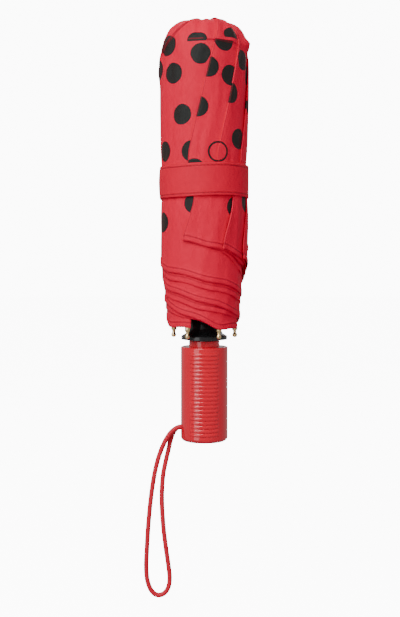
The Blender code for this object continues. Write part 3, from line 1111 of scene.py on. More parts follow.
# ------------------------------------------------------------------ handle
@dataclass
class Handle:
    """The glossy grip with a field of raised grip bars, its neck and its core."""

    radius: float = 15.5
    length: float = 62.0
    end_round: float = 2.6
    rim_round: float = 0.9
    neck_radius: float = 10.1
    neck_top: float = 66.0
    bars: int = 21
    bar_field: tuple[float, float] = (5.5, 57.5)
    bar_width_deg: float = 76.0
    bar_height: float = 1.15
    bar_proud: float = 0.42
    bar_bury: float = 0.4

    def build(self, frame: Frame, finishes: Finishes, repeat: Repeat) -> None:
        """Builds the grip, the neck and the bars.

        Args:
            frame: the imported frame.
            finishes: the finishes.
            repeat: the tree that copies small shapes.
        """
        grip = self._grip(frame, finishes)
        neck = self._neck(frame, finishes)
        bars = self._bars(frame, finishes, repeat)
        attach(grip, "handle")
        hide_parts("handle_grip")
        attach(neck, "handle")
        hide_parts("handle_core")
        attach(bars, "handle")
        log.info("handle: %d grip bars", self.bars)

    def _grip(self, frame: Frame, finishes: Finishes) -> bpy.types.Object:
        """The cup-shaped grip, with its rounded end.

        Args:
            frame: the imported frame.
            finishes: the finishes.

        Returns:
            The grip.
        """
        inner = self.radius - 2.2
        profile = [(0.0, 3.0), (inner, 3.0), (inner, self.length)]
        rim = (self.radius - self.rim_round, self.length - self.rim_round)
        profile += arc(rim, self.rim_round, 90, 0)
        profile += [(self.radius, h) for h in np.linspace(self.length - 6, 8, 8)]
        profile += arc((self.radius - self.end_round, self.end_round), self.end_round, 0, -90, 8)
        profile.append((0.0, 0.0))
        return lathe("handle_grip_gloss", frame, profile, finishes.grip, 128)

    def _neck(self, frame: Frame, finishes: Finishes) -> bpy.types.Object:
        """The core's neck, with the shaft's bore.

        Args:
            frame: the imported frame.
            finishes: the finishes.

        Returns:
            The neck.
        """
        body, bore = self.radius - 2.5, 3.7
        profile = [(bore, self.neck_top), (self.neck_radius - 0.6, self.neck_top)]
        profile += arc((self.neck_radius - 0.6, self.neck_top - 0.6), 0.6, 90, 0, 4)
        profile += [(self.neck_radius, self.length - 0.2), (body, self.length - 0.2)]
        profile += [(body, 18.0), (bore, 18.0), (bore, self.neck_top)]
        return lathe("handle_neck_gloss", frame, profile, finishes.grip, 96)

    def _bars(self, frame: Frame, finishes: Finishes, repeat: Repeat) -> bpy.types.Object:
        """Raised bars across the front of the grip.

        Args:
            frame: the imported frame.
            finishes: the finishes.
            repeat: the tree that copies small shapes.

        Returns:
            All bars, as one piece.
        """
        pattern = pattern_shape("grip_bar_pattern", self._bar)
        heights = np.linspace(*self.bar_field, self.bars)
        points = np.array([(0.0, 0.0, frame.up(h)) for h in heights])
        count = len(points)
        bars = repeat.make(
            "grip_bars",
            points,
            np.tile((1.0, 0.0, 0.0), (count, 1)),
            np.tile((0.0, 0.0, 1.0), (count, 1)),
            pattern,
            finishes.grip,
        )
        drop(pattern)
        return bars

    def _bar(self, made: bmesh.types.BMesh) -> None:
        """One bar, bent round the grip's front, with ends that run out softly.

        Args:
            made: the empty mesh that it is built in.
        """
        sections, steps, sides = [], 28, 8
        for i in range(steps + 1):
            share = 2 * i / steps - 1
            turn = math.radians(share * self.bar_width_deg / 2)
            fade = math.sqrt(max(0.0, 1 - share**8))
            ring = []
            for k in range(sides + 1):
                a = math.pi * k / sides
                rise = (self.bar_bury + self.bar_proud * fade) * math.sin(a) ** 0.6
                out = self.radius - self.bar_bury + rise
                z = self.bar_height * fade * math.cos(a)
                place = (out * math.sin(turn) * MM, -out * math.cos(turn) * MM, z * MM)
                ring.append(made.verts.new(place))
            sections.append(ring)
        for one, two in zip(sections, sections[1:]):
            for k in range(sides):
                made.faces.new((one[k], one[k + 1], two[k + 1], two[k]))
            made.faces.new((one[sides], one[0], two[0], two[sides]))
        made.faces.new(sections[0])
        made.faces.new(reversed(sections[-1]))
        bmesh.ops.remove_doubles(made, verts=made.verts, dist=1e-8)
        bmesh.ops.recalc_face_normals(made, faces=made.faces)


# ------------------------------------------------------------------ print
@dataclass(frozen=True)
class Spot:
    """A printed spot: a dot, or a ring where ring is set, that a crease may cut off."""

    azimuth: float
    height: float
    lowest: float = -1000.0
    highest: float = 1000.0
    ring: bool = False


SPOT_RADIUS = 6.65
RING_WIDTH = 1.25


# ------------------------------------------------------------------ furled canopy
@dataclass(frozen=True)
class Flap:
    """One furled panel: where its folded edge runs, its corner, its hem and its spots.

    The fold's azimuths are measured from the guide line. Hem points are (degrees to the
    right of the fold, height).
    """

    upper: float
    lower: float
    corner: float
    hem: tuple[tuple[float, float], ...]
    spots: tuple[Spot, ...] = ()
    reach: float = 330.0


@dataclass(frozen=True)
class Tuck:
    """Cloth that overhangs along a line near the top.

    Its middle and half width are degrees, its line a height, its slant millimetres for each
    degree, and its size how far it stands out.
    """

    middle: float
    spread: float
    line: float
    slant: float
    size: float

    def above(self, azimuth: np.ndarray, height: np.ndarray) -> np.ndarray:
        """How far places lie above the tuck's line, mm."""
        return height - self.line - self.slant * (azimuth - self.middle)

    def push(self, azimuth: np.ndarray, height: np.ndarray) -> np.ndarray:
        """How far the cloth stands out: sharply at the line, and less further up.

        Args:
            azimuth: degrees from the front.
            height: mm above the handle's flat end.

        Returns:
            Outward offsets, mm.
        """
        above = self.above(azimuth, height)
        along = np.exp(-(((azimuth - self.middle) / self.spread) ** 4))
        return self.size * along * smooth(above, -0.5, 0.5) * np.exp(-np.maximum(above, 0) / 5.0)

    def gap(self, azimuth: np.ndarray, height: np.ndarray) -> np.ndarray:
        """Distance to the line in mm, which grows fast past the tuck's ends."""
        outside = np.maximum(np.abs(azimuth - self.middle) / self.spread - 0.9, 0.0)
        return np.abs(self.above(azimuth, height)) + 30 * outside


@dataclass(frozen=True)
class Bump:
    """A soft bulge: its middle and spread in degrees, its height and half height, and its size."""

    middle: float
    spread: float
    line: float
    tall: float
    size: float

    def push(self, azimuth: np.ndarray, height: np.ndarray) -> np.ndarray:
        """How far the cloth stands out."""
        across, up = (azimuth - self.middle) / self.spread, (height - self.line) / self.tall
        return self.size * np.exp(-(across**2 + up**2))


@dataclass
class FurledCanopy:
    """The furled cloth: six panels wound round the shaft, each lying over the one before it.

    The envelope is straight up to the shoulder and then a rounded crown. Each layer lies
    layer_gap deeper for every fold above it. The guide gives the folds' common course, as
    (height, azimuth) points. The floor is the lowest hem, and return_drop is how far the
    cloth's returning layer hangs below a hem.
    """

    radius: float = 27.9
    shoulder: float = 244.0
    crown_height: float = 31.3
    crown_power: float = 3.3
    layer_gap: float = 1.25
    lap: float = 20.0
    hidden_height: float = 28.0
    floor: float = 74.3
    thickness: float = 0.36
    seam: float = 3.4
    return_drop: float = 5.2
    strap_height: float = 170.0
    turn_columns: int = 9
    tucks: tuple[Tuck, ...] = (
        Tuck(25.0, 24.0, 258.4, -0.02, 1.0),
        Tuck(-12.0, 12.0, 259.6, 0.0, 0.5),
        Tuck(-52.0, 27.0, 260.5, 0.46, 2.0),
        Tuck(150.0, 34.0, 261.0, -0.03, 1.2),
        Tuck(235.0, 26.0, 259.0, 0.05, 1.0),
    )
    bumps: tuple[Bump, ...] = (
        Bump(84.0, 17.0, 260.0, 2.8, 3.6),
        Bump(-88.0, 16.0, 243.0, 7.0, 1.5),
        Bump(-16.0, 14.0, 273.0, 3.0, 1.2),
        Bump(24.0, 14.0, 272.5, 3.0, 1.3),
    )
    guide: tuple[tuple[float, float], ...] = (
        (70.0, -29.6),
        (124.0, -29.6),
        (131.6, -28.6),
        (145.0, -19.0),
        (160.0, -10.5),
        (170.0, -17.5),
        (183.6, -21.5),
        (196.0, -16.0),
        (224.6, -2.3),
        (250.6, 10.3),
        (270.0, 22.0),
        (276.0, 25.0),
    )
    flaps: tuple[Flap, ...] = (
        Flap(
            -100.0,
            -133.0,
            133.0,
            ((0, 133.0), (87, 114.0), (160, 106.5), (224, 99.0), (330, 84.0)),
            (
                Spot(-31.2, 211.8),
                Spot(-44.4, 238.6),
                Spot(-80.0, 243.2),
                Spot(-65.0, 189.4),
                Spot(-18.0, 188.3),
                Spot(-55.0, 256.9),
                Spot(-5.1, 249.8),
                Spot(-10.0, 257.9, lowest=257.9),
                Spot(-13.8, 155.2),
                Spot(-69.0, 143.5),
            ),
        ),
        Flap(
            0.0,
            0.0,
            131.6,
            (
                (0, 131.6),
                (51, 125.6),
                (72, 121.5),
                (95, 116.2),
                (125, 110.0),
                (200, 99.0),
                (330, 84.0),
            ),
            (
                Spot(-8.4, 216.2),
                Spot(4.9, 241.3),
                Spot(36.0, 236.9),
                Spot(42.0, 262.3, lowest=260.9),
                Spot(27.0, 258.5, highest=258.9),
                Spot(-13.0, 176.7),
                Spot(45.0, 153.0),
                Spot(17.8, 187.8, ring=True),
            ),
        ),
        Flap(
            38.0,
            54.0,
            126.4,
            ((0, 126.4), (34, 120.0), (80, 107.0), (200, 94.0), (330, 82.0)),
            (
                Spot(17.8, 187.8, ring=True),
                Spot(35.0, 225.6),
                Spot(51.5, 196.9),
                Spot(75.0, 157.2),
                Spot(61.0, 248.5),
                Spot(83.0, 240.0),
            ),
        ),
        Flap(
            77.0,
            92.0,
            120.0,
            ((0, 120.0), (60, 106.0), (140, 92.0), (230, 76.0), (330, 74.3)),
            (Spot(84.0, 219.0), Spot(102.0, 246.0), Spot(96.0, 184.0)),
            reach=276.5,
        ),
        Flap(
            125.0,
            130.0,
            126.0,
            ((0, 126.0), (110, 102.0), (203, 88.0), (253, 80.3), (284, 74.4), (330, 74.3)),
            (Spot(138.0, 205.0), Spot(152.0, 236.0), Spot(131.0, 158.0), Spot(146.0, 180.0)),
        ),
        Flap(
            175.0,
            178.0,
            131.0,
            ((0, 131.0), (155, 99.1), (210, 92.3), (264, 84.6), (330, 76.0)),
            (
                Spot(186.0, 214.0),
                Spot(206.0, 241.0),
                Spot(232.0, 222.0),
                Spot(198.0, 187.0),
                Spot(236.0, 190.0),
                Spot(181.0, 149.0),
                Spot(214.0, 158.0),
                Spot(248.0, 251.0),
            ),
        ),
    )

    def fold(self, number: int, height: np.ndarray) -> np.ndarray:
        """The azimuth of a flap's folded edge at some heights. Flap 6 is flap 0 after a turn.

        Args:
            number: the flap.
            height: mm above the handle's flat end.

        Returns:
            Degrees from the front.
        """
        flap = self.flaps[number % len(self.flaps)]
        turns = FULL_TURN * (number // len(self.flaps))
        heights, azimuths = zip(*self.guide)
        near = [np.interp(height + d, heights, azimuths) for d in (-6, -3, 0, 3, 6)]
        share = smooth(height, 165.0, 185.0)
        offset = flap.lower + (flap.upper - flap.lower) * share
        if number % len(self.flaps) == 0:
            offset = offset + 24.0 * smooth(height, 258.0, 272.0)
        return sum(near) / len(near) + offset + turns

    def rank(self, number: int, azimuth: np.ndarray, height: np.ndarray) -> np.ndarray:
        """How many folds lie over a flap at some places, counted smoothly.

        Args:
            number: the flap.
            azimuth: degrees from the front.
            height: mm above the handle's flat end.

        Returns:
            Counts from 0 to 6.
        """
        passed = np.zeros(np.shape(azimuth))
        for other in range(number, number + 6):
            start, end = self.fold(other, height), self.fold(other + 1, height)
            passed = passed + np.clip((azimuth - start) / (end - start), 0, 1)
        return passed

    def profile(self, height: np.ndarray, over: np.ndarray) -> tuple[np.ndarray, ...]:
        """The envelope's radius, height and outward direction.

        Args:
            height: mm on the straight part.
            over: shares from 0 to 1 round the shoulder, above the straight part.

        Returns:
            Radii, heights, and the direction's radial and upward parts.
        """
        power = 2 / self.crown_power
        turn = over * math.radians(83.6)
        radius = self.radius * np.cos(turn) ** power
        up = np.where(over > 0, self.shoulder + self.crown_height * np.sin(turn) ** power, height)
        slope = 2 - power
        out = np.cos(turn) ** slope / self.radius
        rise = np.sin(turn) ** slope / self.crown_height
        size = np.hypot(out, rise)
        return radius, up, out / size, np.where(over > 0, rise / size, 0.0)

    def creases(self, azimuth: np.ndarray, height: np.ndarray, layer: int) -> np.ndarray:
        """The cloth's wrinkles in mm.

        Args:
            azimuth: degrees.
            height: mm.
            layer: the flap, which has its own ripples.

        Returns:
            Outward offsets: the strap's pinch, rays that fan from it, folds that climb round
            the wrap, knuckles and tucks at the top, and a flare at the bottom.
        """
        turn = np.radians(azimuth)
        away = height - self.strap_height
        near = np.exp(-((away / 15.0) ** 2))
        fan = 0.935 * np.exp(-np.abs(away) / 20.0) * (1 - 0.5 * near)
        rays = ripple(turn * 5.2 + height * 0.012, height * 0.012, 3.0 + layer * 7.0)
        climb = ripple((azimuth - away * 0.42) / 15.0, height * 0.011, 11.0 + layer * 5.0)
        small = ripple(turn * 9.0, height * 0.045, 31.0 + layer * 3.0)
        knuckle = smooth(height, 246.0, 264.0) * ripple(turn * 3.4, height * 0.03, 53.0)
        low = np.exp(-np.maximum(0.0, height - 92.0) / 14.0)
        flare = low * ripple(turn * 2.4, 0 * turn, 71.0)
        wrinkles = fan * rays + 1.35 * climb * (1 - 0.7 * near) + 0.22 * small - 0.95 * near
        shaped = sum(item.push(azimuth, height) for item in (*self.tucks, *self.bumps))
        return wrinkles + 2.7 * knuckle + 0.5 * flare + shaped

    def _crease_shade_gap(self, number: int, azimuth: np.ndarray, height: np.ndarray) -> np.ndarray:
        """Distance in mm to the nearest crease that gets painted shade: a tuck, or this or the next
        flap's fold.

        Args:
            number: the flap.
            azimuth: degrees from the front.
            height: mm above the handle's flat end.

        Returns:
            Distances, at most 30.
        """
        nearest = np.full(np.shape(azimuth), 30.0)
        for tuck in self.tucks:
            nearest = np.minimum(nearest, tuck.gap(azimuth, height))
        for edge in (number, number + 1):
            beside = np.radians(np.abs(azimuth - self.fold(edge, height))) * self.radius
            shown = height > self.flaps[edge % len(self.flaps)].corner
            nearest = np.where(shown, np.minimum(nearest, beside + 0.3), nearest)
        return nearest

    def skin(
        self,
        number: int,
        azimuth: np.ndarray,
        height: np.ndarray,
        over: np.ndarray,
        lift: float = 0.0,
    ) -> tuple[np.ndarray, np.ndarray, np.ndarray]:
        """A flap's surface, with its layer's depth and its wrinkles.

        Args:
            number: the flap.
            azimuth: degrees.
            height: mm on the straight part.
            over: shares round the shoulder.
            lift: mm outwards.

        Returns:
            Radii, azimuths and heights.
        """
        radius, up, out, rise = self.profile(height, over)
        depth = self.layer_gap * self.rank(number, azimuth, up)
        push = 1.1 - depth + self.creases(azimuth, up, number) * np.exp(-depth / 4) + lift
        push = push * np.clip(radius / 22.0, 0.3, 1.0)
        return radius + out * push, azimuth, up + rise * push

    def hem(self, number: int, degrees: np.ndarray) -> np.ndarray:
        """The hem's height at degrees to the right of the fold.

        Args:
            number: the flap.
            degrees: places to the right of the fold.

        Returns:
            Heights, mm.
        """
        places, heights = zip(*self.flaps[number].hem)
        near = [np.interp(degrees + d, places, heights) for d in (-5, 0, 5)]
        wave = 0.5 * np.sin(np.radians(degrees) * 6.0 + number * 1.7) * smooth(degrees, 4, 30)
        return np.maximum(sum(near) / 3 + wave, self.floor)

    def ink(
        self, number: int, azimuth: np.ndarray, height: np.ndarray, over: np.ndarray
    ) -> np.ndarray:
        """Distance in mm to the nearest spot's edge, negative inside a spot.

        Args:
            number: the flap.
            azimuth: degrees from the front.
            height: mm above the handle's flat end.
            over: shares round the shoulder.

        Returns:
            Distances, at most 30.
        """
        radius, up, _, _ = self.profile(height, over)
        nearest = np.full(np.shape(azimuth), 30.0)
        for spot in self.flaps[number].spots:
            across = np.radians(azimuth - spot.azimuth) * np.maximum(radius, 20.0)
            tall = up - spot.height
            tall = tall * np.where(over > 0, 1 + 1.6 * np.clip(over - 0.25, 0, 1), 1.0)
            gap = np.hypot(across, tall) - SPOT_RADIUS
            if spot.ring:
                gap = np.maximum(gap, -(gap + RING_WIDTH))
            gap = np.maximum(gap, np.maximum(spot.lowest - up, up - spot.highest))
            nearest = np.minimum(nearest, gap)
        return nearest

    def build(self, frame: Frame, finishes: Finishes, repeat: Repeat) -> None:
        """Builds the six panels and their hem stitches.

        Args:
            frame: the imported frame.
            finishes: the finishes.
            repeat: the tree that copies small shapes.
        """
        stitch = stitch_shape()
        for number in range(len(self.flaps)):
            panel, area = self._panel(frame, finishes, number)
            threads = self._stitches(frame, finishes, repeat, stitch, number)
            for piece in (panel, threads):
                tuck_in(piece)
            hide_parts("canopy")
        drop(stitch)
        log.info("furled canopy: %d panels", len(self.flaps))

    def _panel(
        self, frame: Frame, finishes: Finishes, number: int
    ) -> tuple[bpy.types.Object, float]:
        """One panel: its whole visible part, and the hem's strip under the others.

        Args:
            frame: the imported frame.
            finishes: the finishes.
            number: the flap.

        Returns:
            The panel with its thickness, and its flat area in square metres.
        """
        height, share, azimuth, kept = self._grid(number)
        up = self.profile(height, share)[1]
        radius, azimuth, place = self.skin(number, azimuth, height, share)
        hem = height[0]
        band = np.clip((height - hem) / 4.0, 0, 1)
        radius = radius + 0.32 * (1 - smooth(band, 0.82, 1.0))
        radius, azimuth = self._fold_under(radius, azimuth)
        points = frame.place(radius, azimuth, place).reshape(-1, 3)
        used = np.unique(kept)
        index = np.full(len(points), -1)
        index[used] = np.arange(len(used))
        ink = self.ink(number, azimuth, height, share).reshape(-1)[used]
        # Painted shade: the cloth is darkened along the hem's stitch line, the tucks and the fold
        # edges, where shade falls.
        stitched = np.where(share > 0, 30.0, np.abs(height - hem - self.seam))
        seam = np.minimum(stitched, self._crease_shade_gap(number, azimuth, up)).reshape(-1)[used]
        across = (np.radians(azimuth) * self.radius).reshape(-1)[used]
        under, under_faces, low_seam, low_across, low_along = self._under_hem(frame, number)
        panel = new_mesh(
            f"furled_panel_{number + 1}",
            np.vstack([points[used], under]),
            np.vstack([index[kept], under_faces + len(used)]),
            finishes.printed,
        )
        set_number(panel, "print_mm", np.concatenate([ink, np.full(len(under), 30.0)]))
        set_number(panel, "seam_shade_mm", np.concatenate([seam, low_seam]))
        along = np.concatenate([place.reshape(-1)[used], low_along])
        set_uv(panel, np.concatenate([across, low_across]), along)
        area = sum(polygon.area for polygon in panel.data.polygons)
        thicken(panel, self.thickness)
        return panel, area

    def _grid(self, number: int) -> tuple[np.ndarray, ...]:
        """The places of a panel's points before they are shaped.

        Columns run from the folded edge: a few for the turned edge, then the part that can
        be seen, then the part under the other panels, which keeps only its rows by the hem.

        Args:
            number: the flap.

        Returns:
            Heights and shares round the shoulder, azimuths, and the faces that are kept.
        """
        shown, hidden, low, high, over = 78, 70, 26, 96, 60
        flap = self.flaps[number]
        first = np.linspace(0, 1, shown)
        second = np.linspace(1, 2, hidden)[1:]
        column = np.concatenate([np.zeros(self.turn_columns), first, second])
        total = len(column)

        def width(height: np.ndarray) -> np.ndarray:
            gap = self.fold(number + 1, height) - self.fold(number, height)
            return np.minimum(gap + self.lap, flap.reach)

        start = width(np.array(flap.corner))
        degrees = np.where(column <= 1, column * start, start + (column - 1) * (flap.reach - start))
        strip = self.hem(number, degrees) + np.linspace(0, 1, low)[:, None] * self.hidden_height
        rest = strip[-1] + np.linspace(0, 1, high)[1:, None] * (self.shoulder - strip[-1])
        height = np.vstack([strip, rest, np.full((over - 1, total), self.shoulder)])
        share = np.zeros(height.shape)
        share[low + high - 1 :] = np.linspace(0, 1, over)[1:, None] ** 0.8
        up = self.profile(height, share)[1]
        fold, wide = self.fold(number, up), width(up)
        inner = fold + column * wide
        outer = fold + wide + (column - 1) * (flap.reach - wide)
        faces = grid_faces(len(height), total)
        row, col = faces[:, 0] // total, faces[:, 0] % total
        kept = faces[(row < low - 1) | (col < self.turn_columns + shown - 1)]
        return height, share, np.where(column <= 1, inner, outer), kept

    def _fold_under(self, radius: np.ndarray, azimuth: np.ndarray) -> tuple[np.ndarray, ...]:
        """Turns a panel's first columns under, so that its folded edge is round.

        Args:
            radius: the points' radii, mm.
            azimuth: their degrees.

        Returns:
            New radii and degrees.
        """
        count = self.turn_columns
        angle = np.zeros(radius.shape[1])
        angle[:count] = np.linspace(math.pi, 0, count, endpoint=False)
        bend = 0.42 * np.clip(radius / 20, 0.3, 1)
        back = -bend * np.sin(angle) + 1.1 * (np.arange(len(angle)) == 0)
        radius = radius - bend * (1 - np.cos(angle))
        return radius, azimuth + np.degrees(back / np.maximum(radius, 4.0))

    def _under_hem(self, frame: Frame, number: int) -> tuple[np.ndarray, ...]:
        """The hem of the panel's returning layer, which shows a little lower.

        Args:
            frame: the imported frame.
            number: the flap.

        Returns:
            Points, faces, distances to the seam, and surface millimetres across and along.
        """
        reach = self.flaps[number].reach - 4
        columns, rows = ((190, 12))
        degrees = np.linspace(26.0, reach, columns)
        upper = self.hem(number, degrees)
        spare = smooth(upper - self.floor, 3.0, 20.0)
        drop_by = self.return_drop * smooth(degrees, 26.0, 110.0) * spare
        lower = np.maximum(upper - drop_by, self.floor + 0.2)
        height = lower + np.linspace(0, 1, rows)[:, None] * (upper + 5.0 - lower)
        azimuth = self.fold(number, height) + degrees
        flat = np.zeros(height.shape)
        radius, azimuth, place = self.skin(number, azimuth, height, flat, lift=-0.6)
        points = frame.place(radius, azimuth, place).reshape(-1, 3)
        # Painted shade: this distance darkens the cloth along the hem's stitch line.
        seam = np.abs(height - lower - self.seam).reshape(-1)
        across = (np.radians(azimuth) * self.radius).reshape(-1)
        return points, grid_faces(rows, columns), seam, across, place.reshape(-1)

    def _stitches(
        self,
        frame: Frame,
        finishes: Finishes,
        repeat: Repeat,
        stitch: bpy.types.Object,
        number: int,
    ) -> bpy.types.Object:
        """The row of stitches above a panel's hem.

        Args:
            frame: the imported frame.
            finishes: the finishes.
            repeat: the tree that copies small shapes.
            stitch: the shape of one stitch.
            number: the flap.

        Returns:
            The stitches, as one piece.
        """
        reach = self.flaps[number].reach - 3
        degrees = np.arange(4.0, reach, 4.6)
        height = self.hem(number, degrees) + self.seam
        over = np.zeros(len(degrees))
        azimuth = self.fold(number, height) + degrees
        step = 1.0
        after = self.hem(number, degrees + step) + self.seam
        here = frame.place(*self.skin(number, azimuth, height, over, lift=0.36))
        ahead = frame.place(*self.skin(number, azimuth + step, after, over, lift=0.36))
        outward = here * np.array([1.0, 1.0, 0.0])
        return repeat.make(
            f"hem_stitches_{number + 1}",
            here,
            ahead - here,
            outward,
            stitch,
            finishes.thread,
            spread=0.12,
        )


def tuck_in(piece: bpy.types.Object) -> None:
    """Attaches a furled piece to the upper shaft, with a mesh of its own."""
    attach(piece, "upper_shaft")
    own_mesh(piece)


# ------------------------------------------------------------------ closing strap
@dataclass
class ClosingStrap:
    """The plain strap round the furled cloth, with stitched edges and a snap at the back."""

    low: float = 159.5
    high: float = 180.5
    inner: float = 28.5
    thickness: float = 0.75
    seam: float = 1.8
    lap_deg: float = 26.0

    def _radius(self, azimuth: np.ndarray, height: np.ndarray) -> np.ndarray:
        """The band's outer radius, with its slack at the left and its soft edges.

        Args:
            azimuth: degrees from the front.
            height: mm above the handle's flat end.

        Returns:
            Radii, mm.
        """
        turn = np.radians(azimuth)
        share = (height - self.low) / (self.high - self.low)
        slack = 0.75 * np.exp(-(((azimuth + 82.0) / 16.0) ** 2)) * np.sin(share * math.pi)
        pull = 0.25 * ripple(turn * 3.0, height * 0.06, 5.0)
        edge = -0.14 * np.exp(-((np.minimum(share, 1 - share) / 0.03) ** 2))
        seam = np.minimum(height - self.low, self.high - height) - self.seam
        groove = -0.1 * np.exp(-((seam / 0.5) ** 2))
        return self.inner + self.thickness + slack + 0.2 + pull * 0.6 + edge + groove

    def _tilt(self, azimuth: np.ndarray) -> np.ndarray:
        """How far the band's edges wander up and down."""
        turn = np.radians(azimuth)
        return 0.55 * np.sin(turn + 0.5) + 0.25 * np.sin(3 * turn)

    def build(self, frame: Frame, finishes: Finishes, repeat: Repeat) -> None:
        """Builds the band, its stitches and the snap.

        Args:
            frame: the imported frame.
            finishes: the finishes.
            repeat: the tree that copies small shapes.
        """
        columns, rows = ((420, 34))
        azimuth = np.linspace(-180 - self.lap_deg / 2, 180 + self.lap_deg / 2, columns)[None, :]
        height = np.linspace(self.low, self.high, rows)[:, None]
        azimuth, height = np.broadcast_arrays(azimuth, height)
        end = smooth(azimuth, 180 - self.lap_deg / 2 - 8, 180 - self.lap_deg / 2)
        radius = self._radius(azimuth, height) + 0.85 * end - self.thickness / 2
        points = frame.place(radius, azimuth, height + self._tilt(azimuth))
        band = new_mesh(
            "strap_band", points.reshape(-1, 3), grid_faces(rows, columns), finishes.strap
        )
        set_uv(band, np.radians(azimuth) * self.inner, height)
        # Painted shade: the strap's cloth is darkened along each stitched seam line, where the
        # groove is in shade.
        edge = np.minimum(height - self.low, self.high - height)
        set_number(band, "seam_shade_mm", np.abs(edge - self.seam))
        thicken(band, self.thickness)
        threads = self._stitches(frame, finishes, repeat)
        snap = self._snap(frame, finishes)
        slots = {band: "strap_cloth", threads: "strap_cloth", snap: "black_plastic"}
        for piece, slot in slots.items():
            tuck_in(piece)
        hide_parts("closing_strap")
        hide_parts("strap_snap")

    def _stitches(self, frame: Frame, finishes: Finishes, repeat: Repeat) -> bpy.types.Object:
        """A row of stitches along each edge of the band.

        Args:
            frame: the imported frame.
            finishes: the finishes.
            repeat: the tree that copies small shapes.

        Returns:
            The stitches, as one piece.
        """
        stitch = stitch_shape()
        azimuth = np.tile(np.arange(-178.0, 164.0, 4.4), 2)
        count = len(azimuth) // 2
        height = np.repeat([self.low + self.seam, self.high - self.seam], count)
        lift = 0.06
        after = azimuth + 1.0
        here, ahead = (
            frame.place(self._radius(place, height) + lift, place, height + self._tilt(place))
            for place in (azimuth, after)
        )
        outward = here * np.array([1.0, 1.0, 0.0])
        made = repeat.make(
            "strap_stitches", here, ahead - here, outward, stitch, finishes.thread, spread=0.1
        )
        drop(stitch)
        return made

    def _snap(self, frame: Frame, finishes: Finishes) -> bpy.types.Object:
        """The snap's domed cap on the overlap.

        Args:
            frame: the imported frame.
            finishes: the finishes.

        Returns:
            The cap.
        """
        dome = [(0.0, 1.5), (1.6, 1.42), (3.0, 1.15), (4.0, 0.7), (4.5, 0.2)]
        profile = [*dome, (4.6, -0.5), (0.0, -0.5)]
        snap = lathe("strap_snap_cap", frame, profile, finishes.black, 40)
        centre = Vector((0, 0, frame.base))
        out = self.inner + self.thickness + 1.0
        seat = Matrix.Translation((0, out * MM, frame.up((self.low + self.high) / 2)))
        turn = Matrix.Rotation(math.radians(-90), 4, "X")
        snap.data.transform(seat @ turn @ Matrix.Translation(-centre))
        return snap


# ------------------------------------------------------------------ frame parts
@dataclass(frozen=True)
class Part:
    """A CAD node that keeps its shape, with softened edges and a finish."""

    node: str
    body: str
    finish: str
    slot: str
    bevel: float = 0.15


@dataclass
class Mechanism:
    """The tubes, runner, crown, cap, ribs, struts, links and tips."""

    arms: int = 6

    def parts(self) -> list[Part]:
        """Every node that is dressed as it is.

        Returns:
            The nodes with their finishes.
        """
        found = [
            Part("handle_pin", "handle", "steel", "shaft_steel"),
            Part("cord_knot", "handle", "cord", "red_cord", 0.0),
            Part("lower_tube", "handle", "steel", "shaft_steel"),
            Part("middle_tube", "middle_shaft", "steel", "shaft_steel"),
            Part("upper_tube", "upper_shaft", "steel", "shaft_steel"),
            Part("crown", "upper_shaft", "black", "black_plastic", 0.25),
            Part("crown_wire", "upper_shaft", "steel", "shaft_steel", 0.0),
            Part("top_cap", "upper_shaft", "black", "black_plastic", 0.3),
            Part("runner", "runner", "black", "black_plastic", 0.25),
            Part("runner_catch", "runner_catch", "black", "black_plastic", 0.2),
        ]
        for i in range(1, self.arms + 1):
            found += [
                Part(f"top_rib_{i}", f"top_rib_{i}", "rib", "rib_metal"),
                Part(f"middle_rib_{i}", f"middle_rib_{i}", "rib", "rib_metal"),
                Part(f"outer_rib_{i}", f"outer_rib_{i}", "rib", "rib_metal"),
                Part(f"strut_{i}", f"strut_{i}", "rib", "rib_metal"),
                Part(f"link_{i}", f"link_{i}", "rib", "rib_metal"),
                Part(f"rib_tip_{i}", f"outer_rib_{i}", "gold", "gold", 0.0),
            ]
        return found

    def build(self, frame: Frame, finishes: Finishes) -> None:
        """Dresses every part with a softened copy of its node.

        Args:
            frame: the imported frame.
            finishes: the finishes.
        """
        for part in self.parts():
            node = frame.packed["nodes"][part.node]
            copy = bpy.data.objects.new(f"{part.node}_finish", node.data.copy())
            bpy.context.scene.collection.objects.link(copy)
            copy.data.materials.clear()
            copy.data.materials.append(getattr(finishes, part.finish))
            weld(copy, 30.0)
            if part.bevel:
                bevel = copy.modifiers.new("bevel", "BEVEL")
                bevel.width = part.bevel * MM
                bevel.segments = 2
                bevel.limit_method = "ANGLE"
                bevel.angle_limit = math.radians(35)
                bevel.use_clamp_overlap = True
                settle(copy)
                copy.data.set_sharp_from_angle(angle=math.radians(40))
            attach(copy, part.body)
            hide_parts(part.node)
        log.info("mechanism: %d parts", len(self.parts()))


# ------------------------------------------------------------------ opened canopy
class Ring(Enum):
    """The three rings of the opened cloth, each on one set of ribs."""

    INNER = "inner"
    MIDDLE = "middle"
    OUTER = "outer"


